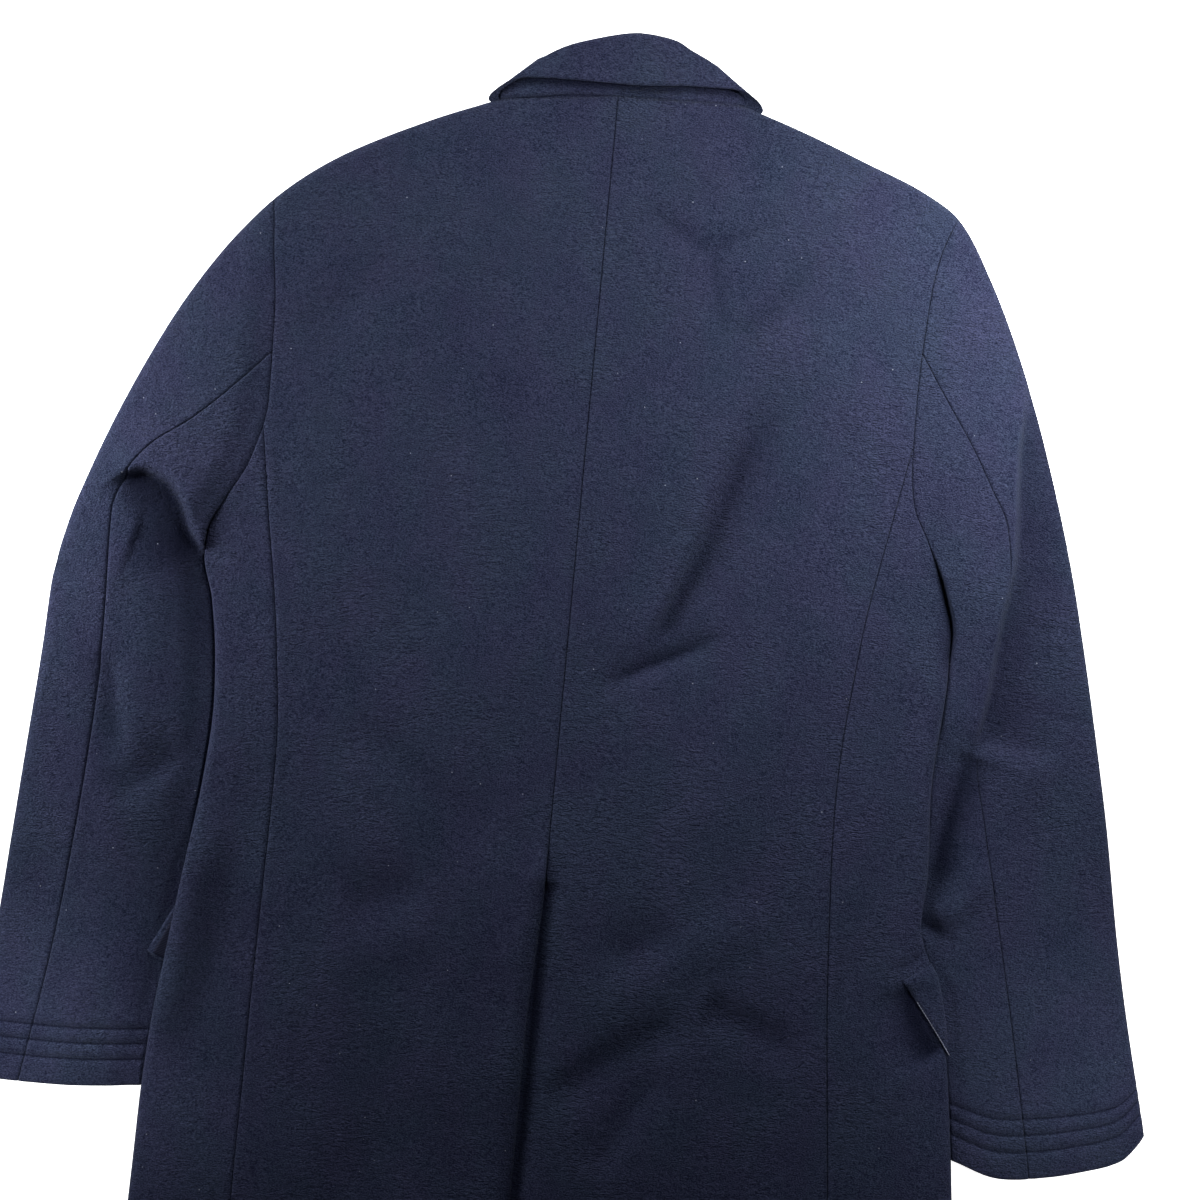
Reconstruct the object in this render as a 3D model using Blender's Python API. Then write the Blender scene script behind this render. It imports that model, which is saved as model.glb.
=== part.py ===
"""Navy wool overcoat, laid flat on its fronts with its back upwards.

Lengths are millimetres in the tables and are turned into metres when a mesh is made.
A place on the coat is an across value, x, to the right of the centre-back seam, and a depth
below the nape seam. On one half of the coat, "reach" is the distance out from that seam.
The coat is two sheets of cloth, a top one and an under one, which meet along its folded edges.
"""
from dataclasses import dataclass

import bpy
import numpy as np

MM = 0.001

# Driving sizes of the cut
LENGTH = 1000.0         # nape seam to hem
ORIGIN_DEPTH = 480.0    # depth of the frame's origin below the nape seam
WALL = 2.6              # melton, with its turnings
SEAM = 0.4              # gap between panels, measured across
FLAT_HEIGHT = 9.0       # top face of two layers lying on each other
EDGE_ROUND = 7.0        # how far in the rounding of a folded edge reaches
EDGE_MIN = 0.8          # the same just below the underarm
ARM_EDGE_HEIGHT = 6.0   # height of a sleeve along its inner edge
UNDERLAP = 45.0         # part of the right back that lies under the left one at the vent
VENT_TOP = 557.0
VENT_STEP = 2.9         # how far the left back is raised to lie on the underlap
FRONT_LAP = 25.0        # each front reaches this far past the centre
BREAK_DEPTH = 330.0     # where the lapels start to turn
LAPEL_STEP = 3.0        # room under a front for the lapel, collar or the other front
FLAP_STEP = 3.9         # room under a front for the pocket flap
FLAP_WALL = 1.8
LINING_WALL = 0.6
LINING_GAP = 0.6
FLAP_HUMP = 6.8         # how much the left edge rises over the flap and the sleeve under it
FLAP_DEPTH = 610.0      # middle of the flaps
FLAP_SEAM = 584.0       # upper and lower edge of the right flap where it turns the coat's edge
FLAP_LOW = 647.0
FLAP_REAR = 24.0        # how far the right flap's upper rear corner lies in on the back
FLAP_ROOM = 3.2         # how far the right sleeve stands off beside its flap
ARM_BAND = 15.0         # thin band along a sleeve's inner edge
VENT_LEAN = 4.0         # how far the vent's edge swings off the centre line
CUFF_BEND = 130.0       # length of sleeve over which rows bend to the cuff's own line
FORE_SHARE = 0.28       # place of the sleeve's fore seam, as a share of its width
CLEAR = 0.4
CORE = 0.12             # half of the least gap inside a folded edge
MARGIN = 36.0           # how far a step in the cloth stays full beyond the piece under it
RAMP = 45.0             # length over which the step then fades out

NAVY = (0.024, 0.030, 0.060, 1.0)
SATIN = (0.040, 0.046, 0.075, 1.0)

# Left flap's corners as (reach, depth): rear end at its seam and lower edge, then the front end
LEFT_FLAP = np.array([(246.0, 578.0), (271.0, 628.0), (130.0, 570.0), (138.0, 632.0)])


@dataclass(frozen=True)
class Side:
    """Cut of one half of the coat, as rows of (depth, reach)."""
    name: str
    out: int                # -1 on the viewer's left, 1 on the right
    outline: tuple          # shoulder, then the sleeve's outer edge
    parting: tuple          # armhole, then the edge where body and sleeve part
    side_seam: tuple
    back_seam: tuple        # hind seam of the sleeve
    cuff: tuple             # (share from the outer to the inner edge, depth)
    lapel: tuple            # outer edge of collar and lapel on the under face
    roll: tuple             # front neck edge, roll line and front edge
    neck: float             # depth of the neck point
    tip: float              # depth of the shoulder point
    underarm: float


LEFT = Side(
    name="left", out=-1, neck=9.0, tip=92.0, underarm=341.0,
    outline=((9, 83), (27, 127), (62, 195), (92, 233), (132, 267), (199, 306), (287, 343),
             (331, 357), (373, 365), (416, 367), (501, 373), (586, 379), (725, 390)),
    parting=((92, 233), (129, 230), (164, 226), (234, 224), (277, 233), (306, 248), (329, 258),
             (345, 259), (377, 251), (419, 245), (454, 243), (524, 248), (617, 258), (716, 269),
             (797, 271), (1000, 276)),
    side_seam=((252, 226), (304, 218), (401, 203), (484, 196), (674, 198), (1000, 200)),
    back_seam=((199, 224), (226, 248), (253, 277), (271, 301), (292, 317), (320, 326), (412, 324),
               (496, 327), (617, 338), (725, 355)),
    cuff=((0.0, 725), (0.5, 724), (1.0, 721)),
    lapel=((0, 100), (40, 106), (95, 119), (325, -21)),
    roll=((0, 72), (12, 69), (330, -25), (380, -25), (1000, -25)))

RIGHT = Side(
    name="right", out=1, neck=-2.0, tip=62.0, underarm=300.0,
    outline=((-2, 88), (11, 128), (28, 174), (45, 217), (62, 245), (103, 273), (184, 310),
             (225, 325), (307, 350), (390, 370), (472, 388), (576, 408), (693, 436)),
    parting=((62, 245), (93, 235), (121, 231), (192, 228), (240, 229), (266, 233), (292, 246),
             (322, 260), (357, 269), (392, 268), (463, 264), (525, 267), (556, 265), (600, 280),
             (643, 290), (744, 304), (1000, 326)),
    side_seam=((227, 228), (277, 219), (370, 204), (476, 197), (588, 202), (752, 217), (1000, 238)),
    back_seam=((160, 229), (190, 248), (220, 268), (250, 285), (275, 298), (310, 303), (397, 296),
               (436, 293), (487, 303), (584, 325), (680, 347), (729, 357)),
    cuff=((0.0, 692), (0.12, 710), (0.32, 719), (0.52, 725), (0.75, 729), (1.0, 721)),
    lapel=((0, 108), (30, 116), (90, 121), (325, 31)),
    roll=((-10, 80), (5, 76), (330, 27), (400, 27), (460, -25), (1000, -25)))

# Largest folds, each a ridge from one place to another: (across, depth) at its start and end,
# its rise, and how wide it is on the left and on the right of someone walking down it
FOLDS = (
    # across0, depth0, across1, depth1, rise, wide_left, wide_right
    (306, 120, 307, 300, 7.0, 15, 32),
    (307, 270, 288, 437, 7.0, 15, 32),
    (-318, 286, -262, 340, 4.5, 24, 16),
    (165, 165, 62, 372, 3.4, 30, 34),
    (98, 350, 8, 402, 3.0, 26, 16),
    (152, 556, 20, 640, 3.0, 28, 30),
    (-150, 604, -50, 552, 2.4, 34, 30),
    (-166, 416, -44, 516, 2.4, 30, 26),
)

# Collar, station by station from the left notch round the back to the right notch.
# turn is the way its face looks: 0 up, 90 outwards, 180 down. curl is how far it rolls over.
COLLAR = (
    # roll_x, roll_depth, roll_z, leaf_x, leaf_depth, leaf_z, turn, curl
    (-48, 66, 1.35, -104, 76, 1.35, 180, 60),
    (-56, 32, 1.35, -99, 42, 1.35, 180, 60),
    (-56, -14, 1.35, -89, 12, 1.35, 180, 60),
    (-59, -18, 5.8, -92, 8, 5.8, 90, 60),
    (-52, -20.5, 10.2, -86, 4, 10.2, 8, 60),
    (-30, -31, 10.9, -42, -7, 10.9, 0, 135),
    (12, -41.3, 10.9, 10, -8, 10.9, 0, 170),
    (38, -38, 10.9, 50, -11, 10.9, 0, 135),
    (60, -28, 10.2, 94, -7, 10.2, 8, 60),
    (67, -25, 5.8, 103, -1, 5.8, 90, 60),
    (64.5, -21, 1.35, 100, 3, 1.35, 180, 60),
    (68, 26, 1.35, 112, 34, 1.35, 180, 60),
    (63, 56, 1.35, 117, 66, 1.35, 180, 60),
)
CENTRE_STATION = 6
COLLAR_ROLL = 2.5       # radius of the roll at the middle of the cloth

# Neck seam of the collar stand, at the collar's stations from shoulder to shoulder
STAND = (
    # station, across, depth, height
    (4, -60, 5.6, 7.4),
    (5, -34, 2.9, 7.7),
    (6, 6, -0.8, 7.7),
    (7, 44, -1.9, 7.7),
    (8, 70, -2.5, 7.4),
)
STAND_END = 5.9         # height of the stand's upper edge, inside the roll


def ease(share):
    """Goes softly from 0 to 1 as the share does."""
    share = np.clip(share, 0.0, 1.0)
    return share * share * (3.0 - 2.0 * share)


def curve(rows, at):
    """Smooth curve through rows of (place, value) that never overshoots, straight past its ends."""
    table = np.array(rows, dtype=float)
    place, value = table[:, 0], table[:, 1:]
    gap = np.diff(place)[:, None]
    rate = np.diff(value, axis=0) / gap
    before, after = rate[:-1], rate[1:]
    heavy, light = 2 * gap[1:] + gap[:-1], gap[1:] + 2 * gap[:-1]
    same_way = before * after > 0
    safe_before, safe_after = np.where(same_way, before, 1.0), np.where(same_way, after, 1.0)
    mean = (heavy + light) / (heavy / safe_before + light / safe_after)
    slope = np.concatenate([rate[:1], np.where(same_way, mean, 0.0), rate[-1:]])
    at = np.asarray(at, dtype=float)
    step = np.clip(np.searchsorted(place, at) - 1, 0, len(place) - 2)
    width = place[step + 1] - place[step]
    t = ((at - place[step]) / width)[..., None]
    past = np.where(t < 0, t, np.where(t > 1, t - 1, 0.0))
    t = np.clip(t, 0, 1)
    width = width[..., None]
    inside = ((2 * t**3 - 3 * t**2 + 1) * value[step] + (t**3 - 2 * t**2 + t) * width * slope[step]
              + (3 * t**2 - 2 * t**3) * value[step + 1] + (t**3 - t**2) * width * slope[step + 1])
    beyond = np.where(past < 0, slope[step], slope[step + 1]) * past * width
    result = inside + beyond
    return result[..., 0] if value.shape[1] == 1 else result


def slant(rows, depth):
    """Length of an edge for each unit of depth crossed by a level cut, seen across the edge."""
    return np.sqrt(1.0 + (curve(rows, depth + 0.5) - curve(rows, depth - 0.5))**2)


def folds(across, depth):
    """Rise of the top sheet where folds lie: soft ridges that fade out at both ends."""
    rise = np.zeros(np.broadcast(across, depth).shape)
    for x0, d0, x1, d1, height, wide_left, wide_right in FOLDS:
        length = np.hypot(x1 - x0, d1 - d0)
        along_x, along_d = (x1 - x0) / length, (d1 - d0) / length
        along = (across - x0) * along_x + (depth - d0) * along_d
        aside = (across - x0) * along_d - (depth - d0) * along_x
        width = np.where(aside > 0, wide_left, wide_right)
        fade = ease(along / (0.3 * length)) * ease((length - along) / (0.3 * length))
        rise = np.maximum(rise, height * fade * np.exp(-(aside / width)**2))
    return rise


def hump(side, reach, depth):
    """Share, 0 to 1, of the rise of the left edge over its pocket flap."""
    if side.out > 0:
        return np.zeros(np.broadcast(reach, depth).shape)
    full, fade = 35.0, 70.0
    band, climb = 36.0, 28.0
    near = ease(1.0 - (np.abs(depth - FLAP_DEPTH) - full) / fade)
    return near * ease((reach - curve(side.parting, depth) + band) / climb)


def flap_zone(reach, depth):
    """Share, 0 to 1, of the room that the body leaves for a pocket flap."""
    middle, half_height = FLAP_DEPTH - 5.0, 50.0
    front_end, fade = 70.0, 40.0
    return (ease(1.0 - (np.abs(depth - middle) - half_height) / RAMP)
            * ease((reach - front_end) / fade))


def lift(side, reach, depth):
    """Height of the under sheet's lower face, where another piece lies below it."""
    lapel = (ease(1.0 - (reach - curve(side.lapel, depth) - MARGIN) / RAMP)
             * ease(1.0 - (depth - BREAK_DEPTH) / RAMP))
    lap_start = BREAK_DEPTH - 70.0
    lap = ease(1.0 - (reach - FRONT_LAP - MARGIN) / RAMP) * ease((depth - lap_start) / RAMP)
    flap = flap_zone(reach, depth)
    steps = np.maximum(LAPEL_STEP * lapel, FLAP_STEP * flap)
    if side.out > 0:
        steps = np.maximum(steps, LAPEL_STEP * lap)
    return steps + FLAP_HUMP * hump(side, reach, depth)


def top_height(side, zone, reach, depth):
    """Height of the top sheet's upper face away from the coat's edges."""
    height = FLAT_HEIGHT + folds(side.out * reach, depth)
    if zone == "sleeve":
        climb, fade = 50.0, 80.0
        inner = 1.0 - ease((reach - curve(side.parting, depth) - ARM_BAND) / climb)
        return height - (FLAT_HEIGHT - ARM_EDGE_HEIGHT) * inner * ease((depth - side.underarm) / fade)
    flap_swell = 0.6
    height = height + FLAP_HUMP * hump(side, reach, depth) + flap_swell * flap_zone(reach, depth)
    if zone == "vent":
        start, grow, width, fade = VENT_TOP - 42.0, 40.0, 110.0, 60.0
        raised = ease((depth - start) / grow) * ease((width - reach) / fade)
        height = height + VENT_STEP * raised
    return height


def parting_round(side, depth):
    """Rounding of the edges where body and sleeve part, growing below the underarm."""
    grow = 70.0
    return EDGE_MIN + (EDGE_ROUND - EDGE_MIN) * ease((depth - side.underarm) / grow)


def quarter(distance, round_in, inset):
    """Quarter-ellipse profile of a folded edge, drawn in by the inset."""
    share = np.clip((distance - inset) / np.maximum(round_in - inset, 0.6), 0.0, 1.0)
    return np.sqrt(1.0 - (1.0 - share)**2)


def sheet(side, zone, face, reach, depth, inset=0.0):
    """Height of the top or under sheet; the inset moves it into the cloth, or out if negative."""
    top = top_height(side, zone, reach, depth)
    low = np.zeros_like(top) if zone == "sleeve" else lift(side, reach, depth)
    middle = 0.5 * (top + low)
    below = depth > side.underarm - 0.01
    from_outline = (curve(side.outline, depth) - reach) / slant(side.outline, depth)
    from_parting = np.abs(curve(side.parting, depth) - reach) / slant(side.parting, depth)
    rounding = quarter(from_parting, parting_round(side, depth), inset)
    if zone == "sleeve":
        full = quarter(from_outline, EDGE_ROUND, inset) * np.where(below, rounding, 1.0)
    else:
        full = np.where(below, rounding, quarter(from_outline, EDGE_ROUND, inset))
    half = np.maximum((top - middle - inset) * full, CORE)
    return middle + half if face == "top" else middle - half


def levels(side):
    """Depths of the rows that every panel of one half shares, so that its seams run side by side."""
    hind, seam, cuff = side.back_seam[0][0], side.side_seam[0][0], side.cuff[-1][1]
    arm_step, skirt_step = 42.0, 70.0
    stops = sorted([0.0, 2.6, 14.0, 34.0, side.tip, side.tip + 2.5, side.tip + 14, side.tip + 34,
                    hind, hind + 3.5, hind + 14, seam, seam + 4, side.underarm, side.underarm + 30,
                    side.underarm + 70, 470, VENT_TOP, VENT_TOP + 4, 585, 610, 635, 660, cuff - 25,
                    cuff, LENGTH])
    rows = [stops[0]]
    for start, end in zip(stops, stops[1:]):
        count = int(np.ceil((end - start) / (arm_step if end <= cuff else skirt_step)))
        rows.extend(start + (end - start) * (k + 1) / count for k in range(count))
    return np.array(rows)


def rows_between(side, first, last):
    """The shared rows from one depth to another."""
    rows = levels(side)
    return rows[(rows >= first - 0.01) & (rows <= last + 0.01)]


def spread(seam, edge, round_in, inset, flats, nose):
    """Places across a row from a seam to an edge, close together where the edge rounds off."""
    width = edge - seam
    inset = np.clip(inset, -np.inf, 0.42 * np.abs(width))
    angles = np.radians(np.array([90.0, 45.0, nose]))
    curl = np.maximum(round_in - inset, 0.6)
    curl = np.minimum(curl, 0.55 * np.abs(width))
    near = inset[:, None] + curl[:, None] * (1.0 - np.cos(angles))[None, :]
    fold = edge[:, None] - np.sign(width)[:, None] * near
    share = np.linspace(0.0, 1.0, flats + 1)[None, :-1]
    flat = seam[:, None] + (fold[:, :1] - seam[:, None]) * share
    return np.concatenate([flat, fold], axis=1)


def add_wall(name, outer, inner, keep, color):
    """Closed cloth wall between two grids of places; keep says which cells are cloth."""
    rows, columns = outer.shape[:2]
    index = np.arange(rows * columns).reshape(rows, columns)
    corner = np.stack([index[:-1, :-1], index[:-1, 1:], index[1:, 1:], index[1:, :-1]], axis=-1)
    cells = corner[keep]
    edges = np.concatenate([cells[:, [k, (k + 1) % 4]] for k in range(4)])
    known = {(a, b) for a, b in edges.tolist()}
    rim = [(a, b) for a, b in edges.tolist() if (b, a) not in known]
    total = rows * columns
    faces = [tuple(cell) for cell in cells.tolist()]
    faces += [tuple(total + v for v in reversed(cell)) for cell in cells.tolist()]
    faces += [(b, a, total + a, total + b) for a, b in rim]
    points = np.concatenate([outer.reshape(-1, 3), inner.reshape(-1, 3)])
    used = sorted({v for face in faces for v in face})
    place = {v: k for k, v in enumerate(used)}
    places = points[used] * np.array([1.0, -1.0, 1.0]) + np.array([0.0, ORIGIN_DEPTH, 0.0])
    mesh = bpy.data.meshes.new(name)
    mesh.from_pydata((places * MM).tolist(), [], [tuple(place[v] for v in face) for face in faces])
    mesh.update()
    turn_outwards(mesh)
    mesh.materials.append(cloth(name, color))
    mesh.shade_smooth()
    mesh.set_sharp_from_angle(angle=np.radians(50))
    node = bpy.data.objects.new(name, mesh)
    PARTS.objects.link(node)
    return node


def turn_outwards(mesh):
    """Flips a closed mesh whose faces look inwards, told by the sign of its volume."""
    mesh.calc_loop_triangles()
    where = np.array([v.co for v in mesh.vertices])
    corners = np.array([t.vertices for t in mesh.loop_triangles])
    a, b, c = where[corners[:, 0]], where[corners[:, 1]], where[corners[:, 2]]
    if np.einsum("ij,ij->i", a, np.cross(b, c)).sum() < 0:
        mesh.flip_normals()


def cloth(name, color):
    """Plain matt cloth in one colour."""
    finish = bpy.data.materials.new(name)
    finish.use_nodes = True
    shader = finish.node_tree.nodes["Principled BSDF"]
    shader.inputs["Base Color"].default_value = color
    shader.inputs["Roughness"].default_value = 0.45 if color == SATIN else 0.9
    shader.inputs["Metallic"].default_value = 0.0
    return finish


def whole(grid):
    """Every cell of a grid."""
    return np.ones((grid.shape[0] - 1, grid.shape[1] - 1), dtype=bool)


def body_bound(side, depth):
    """Outer bound of back and front: shoulder edge, armhole, then side seam."""
    seam_start = side.side_seam[0][0]
    armhole = curve(side.parting, depth) - 0.5 * SEAM
    seam = curve(side.side_seam, depth) - 0.5 * SEAM
    return np.where(depth <= side.tip, curve(side.outline, depth),
                    np.where(depth <= seam_start, armhole, seam))


def body_panel(side, name, zone, face, starts, rows, neck, flats):
    """One back or front: rows from its inner edge out to shoulder, armhole and side seam."""
    level = rows + neck
    bound = body_bound(side, level)
    slope = np.where(level <= side.tip, slant(side.outline, level), 1.0)
    at_edge = 1.0 - ease((level - side.tip - 10.0) / 20.0)
    start = starts(level)
    grids = []
    for inset in (0.0, WALL):
        reach = spread(start, bound, EDGE_ROUND * slope, inset * slope * at_edge, flats, 2.0)
        share = np.clip(reach / bound[:, None], 0.0, 1.0)
        depth = rows[:, None] + neck[:, None] * share
        height = sheet(side, zone, face, reach, depth, inset)
        grids.append(np.stack([side.out * reach, depth, height], axis=-1))
    return add_wall(name, grids[0], grids[1], whole(grids[0]), NAVY)


def neck_drop(side, rows):
    """How much lower a row lies at the shoulder than at the centre, near the neck."""
    return side.neck * (1.0 - ease(rows / (side.tip - 6.0)))


def add_back(side):
    """Half of the back, with the vent's overlap on the left or its underlap on the right."""
    def start(depth):
        if side.out < 0:
            return 0.5 * SEAM + VENT_LEAN * ease((depth - VENT_TOP) / 100.0)
        return np.where(depth > VENT_TOP + 2.0, -UNDERLAP, 0.5 * SEAM)
    zone = "vent" if side.out < 0 else "body"
    rows = levels(side)
    body_panel(side, "back_" + side.name, zone, "top", start, rows, neck_drop(side, rows), 6)


def add_front(side):
    """One front, face down, from its roll line and front edge out to the side."""
    def start(depth):
        return curve(side.roll, depth)
    rows = levels(side)[1:]
    rows = rows + neck_drop(side, rows)
    body_panel(side, "front_" + side.name, "body", "under", start, rows, np.zeros_like(rows), 5)


def wrap_rows(side, zone, rows, seams, edges, round_in, inset, depth_of):
    """Top block and under block of a panel that wraps a folded edge, joined nose to nose."""
    blocks = []
    for face, seam in zip(("top", "under"), seams):
        reach = spread(seam, edges, round_in, inset, 4, 14.0)
        depth = depth_of(reach, rows)
        height = sheet(side, zone, face, reach, depth, WALL if inset.max() > 0 else 0.0)
        block = np.stack([side.out * reach, depth, height], axis=-1)
        blocks.append(block if face == "top" else block[:, ::-1])
    return np.concatenate(blocks, axis=1)


def add_side(side):
    """Side body: from the seam on the back, round the coat's edge, to a like seam in front."""
    rows = rows_between(side, side.side_seam[0][0] + 4.0, LENGTH)
    seam = curve(side.side_seam, rows) + 0.5 * SEAM
    edge = curve(side.parting, rows) - 0.5 * SEAM
    below = rows >= side.underarm
    slope = slant(side.parting, rows)
    def level(reach, depth):
        return np.broadcast_to(depth[:, None], reach.shape)
    grids = [wrap_rows(side, "body", rows, (seam, seam), edge, parting_round(side, rows) * slope,
                       np.where(below, inset * slope, 0.0), level) for inset in (0.0, WALL)]
    keep = whole(grids[0])
    nose = grids[0].shape[1] // 2 - 1
    keep[~below[:-1], nose] = False
    add_wall("side_" + side.name, grids[0], grids[1], keep, NAVY)


def bending(side, rows):
    """Share, 0 to 1, by which a row of the sleeve follows the cuff's own line."""
    return ease((rows - side.cuff[-1][1] + CUFF_BEND) / CUFF_BEND)


def edge_depth(side, rows):
    """Depth at which each row, bent as it is, meets the sleeve's outer edge."""
    return rows + (side.cuff[0][1] - side.cuff[-1][1]) * bending(side, rows)


def cuff_level(side):
    """Depth of each place on a sleeve, its rows bending to the cuff's own line."""
    def level(reach, rows):
        outer = curve(side.outline, edge_depth(side, rows))[:, None]
        inner = curve(side.parting, rows)[:, None]
        share = np.clip((outer - reach) / (outer - inner), 0.0, 1.0)
        bend = curve(side.cuff, share) - side.cuff[-1][1]
        return rows[:, None] + bend * bending(side, rows)[:, None]
    return level


def front_seam(side, depth):
    """Fore seam of the sleeve, on its under face."""
    inner, outer = curve(side.parting, depth), curve(side.outline, depth)
    return inner + FORE_SHARE * (outer - inner) * ease((depth - side.side_seam[0][0]) / 80.0)


def sleeve_gap(side, depth):
    """Gap from the parting line to the sleeve, wider beside the right flap."""
    full, fade = 42.0, 25.0
    beside = ease(1.0 - (np.abs(depth - FLAP_DEPTH) - full) / fade) if side.out > 0 else 0.0
    return 0.5 * SEAM + FLAP_ROOM * beside


def add_top_sleeve(side):
    """Upper sleeve: from the hind seam, round the sleeve's outer edge, to the fore seam."""
    hind, cuff = side.back_seam[0][0], side.cuff[-1][1]
    rows = rows_between(side, side.tip + 2.5, cuff)
    armhole = curve(side.parting, rows) + 0.5 * SEAM
    top_seam = np.where(rows <= hind, armhole, curve(side.back_seam, rows) + 0.5 * SEAM)
    fore = front_seam(side, rows) + 0.5 * SEAM
    edge = curve(side.outline, edge_depth(side, rows))
    slope = slant(side.outline, edge_depth(side, rows))
    grids = [wrap_rows(side, "sleeve", rows, (top_seam, fore), edge, EDGE_ROUND * slope,
                       inset * slope, cuff_level(side)) for inset in (0.0, WALL)]
    add_wall("top_sleeve_" + side.name, grids[0], grids[1], whole(grids[0]), NAVY)


def add_under_sleeve(side):
    """Under sleeve: from the hind seam, round the sleeve's inner edge, to the fore seam."""
    hind, cuff = side.back_seam[0][0] + 3.5, side.cuff[-1][1]
    rows = rows_between(side, hind, cuff)
    fore_start = rows[rows > side.side_seam[0][0] + 5.0][0]
    below = rows >= side.underarm
    top_seam = curve(side.back_seam, rows) - 0.5 * SEAM
    edge = curve(side.parting, rows) + sleeve_gap(side, rows)
    fore = np.maximum(front_seam(side, rows) - 0.5 * SEAM, edge + 0.2)
    slope = slant(side.parting, rows)
    grids = [wrap_rows(side, "sleeve", rows, (top_seam, fore), edge, parting_round(side, rows) * slope,
                       np.where(below, inset * slope, 0.0), cuff_level(side)) for inset in (0.0, WALL)]
    keep = whole(grids[0])
    nose = grids[0].shape[1] // 2 - 1
    keep[~below[:-1], nose] = False
    keep[rows[:-1] < fore_start - 0.01, nose:] = False
    add_wall("under_sleeve_" + side.name, grids[0], grids[1], keep, NAVY)


def add_lapel(side):
    """Turned-back lapel, flat under the front: rows from the roll line to its outer edge."""
    notch, tail = 84.0, 308.0
    rows = np.linspace(notch, tail, 7)
    inner = curve(side.roll, rows)
    outer = np.maximum(curve(side.lapel, rows), inner + 6.0)
    reach = inner[:, None] + (outer - inner)[:, None] * np.linspace(0.0, 1.0, 4)[None, :]
    depth = np.broadcast_to(rows[:, None], reach.shape)
    faces = [np.stack([side.out * reach, depth, np.full(reach.shape, z)], axis=-1) for z in (0.0, WALL)]
    add_wall("lapel_" + side.name, faces[0], faces[1], whole(faces[0]), NAVY)


def collar_frame(station):
    """Roll, leaf, direction from leaf to roll, outward face and curl at stations of the collar."""
    places = tuple((k,) + row for k, row in enumerate(COLLAR))
    value = curve(places, station)
    roll, leaf = value[..., 0:3], value[..., 3:6]
    up = roll - leaf
    up /= np.linalg.norm(up, axis=-1, keepdims=True)
    hand = np.where(station < CENTRE_STATION, 1.0, -1.0)
    level = np.stack([hand * up[..., 1], -hand * up[..., 0], np.zeros_like(hand)], axis=-1)
    level /= np.linalg.norm(level, axis=-1, keepdims=True)
    turn = np.radians(value[..., 6])[..., None]
    face = np.cos(turn) * np.array([0.0, 0.0, 1.0]) + np.sin(turn) * level
    return roll, leaf, up, face, np.radians(value[..., 7])


def add_collar_fall():
    """Collar leaf: a strip round the neck, rolled over along its upper edge."""
    station = np.linspace(0.0, len(COLLAR) - 1.0, 2 * (len(COLLAR) - 1) + 1)
    roll, leaf, up, face, curl = collar_frame(station)
    grids = []
    for offset in (0.5 * WALL, -0.5 * WALL):
        strip = [leaf + (roll - leaf) * share + face * offset for share in (0.0, 0.35, 0.7)]
        for share in (0.0, 0.33, 0.67, 1.0):
            angle = (curl * share)[:, None]
            arm = COLLAR_ROLL + offset
            strip.append(roll + arm * np.sin(angle) * up + (arm * np.cos(angle) - COLLAR_ROLL) * face)
        grids.append(np.stack(strip, axis=1))
    add_wall("collar_fall", grids[0], grids[1], whole(grids[0]), NAVY)


def add_collar_stand():
    """Collar stand: from the neck seam up to the inside of the roll."""
    station = np.linspace(STAND[0][0] + 0.3, STAND[-1][0] - 0.3, 13)
    neck = curve(STAND, station)
    roll, leaf, up, face, curl = collar_frame(station)
    end = roll - up * 3.0
    end[:, 2] = STAND_END
    middle = np.stack([neck + (end - neck) * share for share in (0.0, 0.5, 1.0)], axis=1)
    thick = np.array([0.0, 0.0, 0.5 * WALL])
    add_wall("collar_stand", middle + thick, middle - thick, whole(middle), NAVY)


def add_left_flap():
    """Left pocket flap, whose lower rear corner lies out on the sleeve, satin side up."""
    share = np.array([0.0, 0.04, 0.1, 0.16, 0.22, 0.28, 0.36, 0.6, 1.0])
    q, p = np.meshgrid(np.linspace(0.0, 1.0, 6), share, indexing="ij")
    seam = LEFT_FLAP[0] + (LEFT_FLAP[2] - LEFT_FLAP[0]) * p[..., None]
    lower = LEFT_FLAP[1] + (LEFT_FLAP[3] - LEFT_FLAP[1]) * p[..., None]
    place = seam + (lower - seam) * q[..., None]
    reach, depth = place[..., 0], place[..., 1]
    under = lift(LEFT, np.minimum(reach, curve(LEFT.parting, depth)), depth)
    face = under - 2.0 * CLEAR - LINING_WALL - LINING_GAP
    faces = [np.stack([-reach, depth, z], axis=-1) for z in (face, face - FLAP_WALL)]
    add_wall("flap_left", faces[0], faces[1], whole(faces[0]), NAVY)
    satin = [np.stack([-reach, depth, face + LINING_GAP + z], axis=-1)[1:-1, 1:-2]
             for z in (LINING_WALL, 0.0)]
    add_wall("flap_lining_left", satin[0], satin[1], whole(satin[0]), SATIN)


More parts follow.
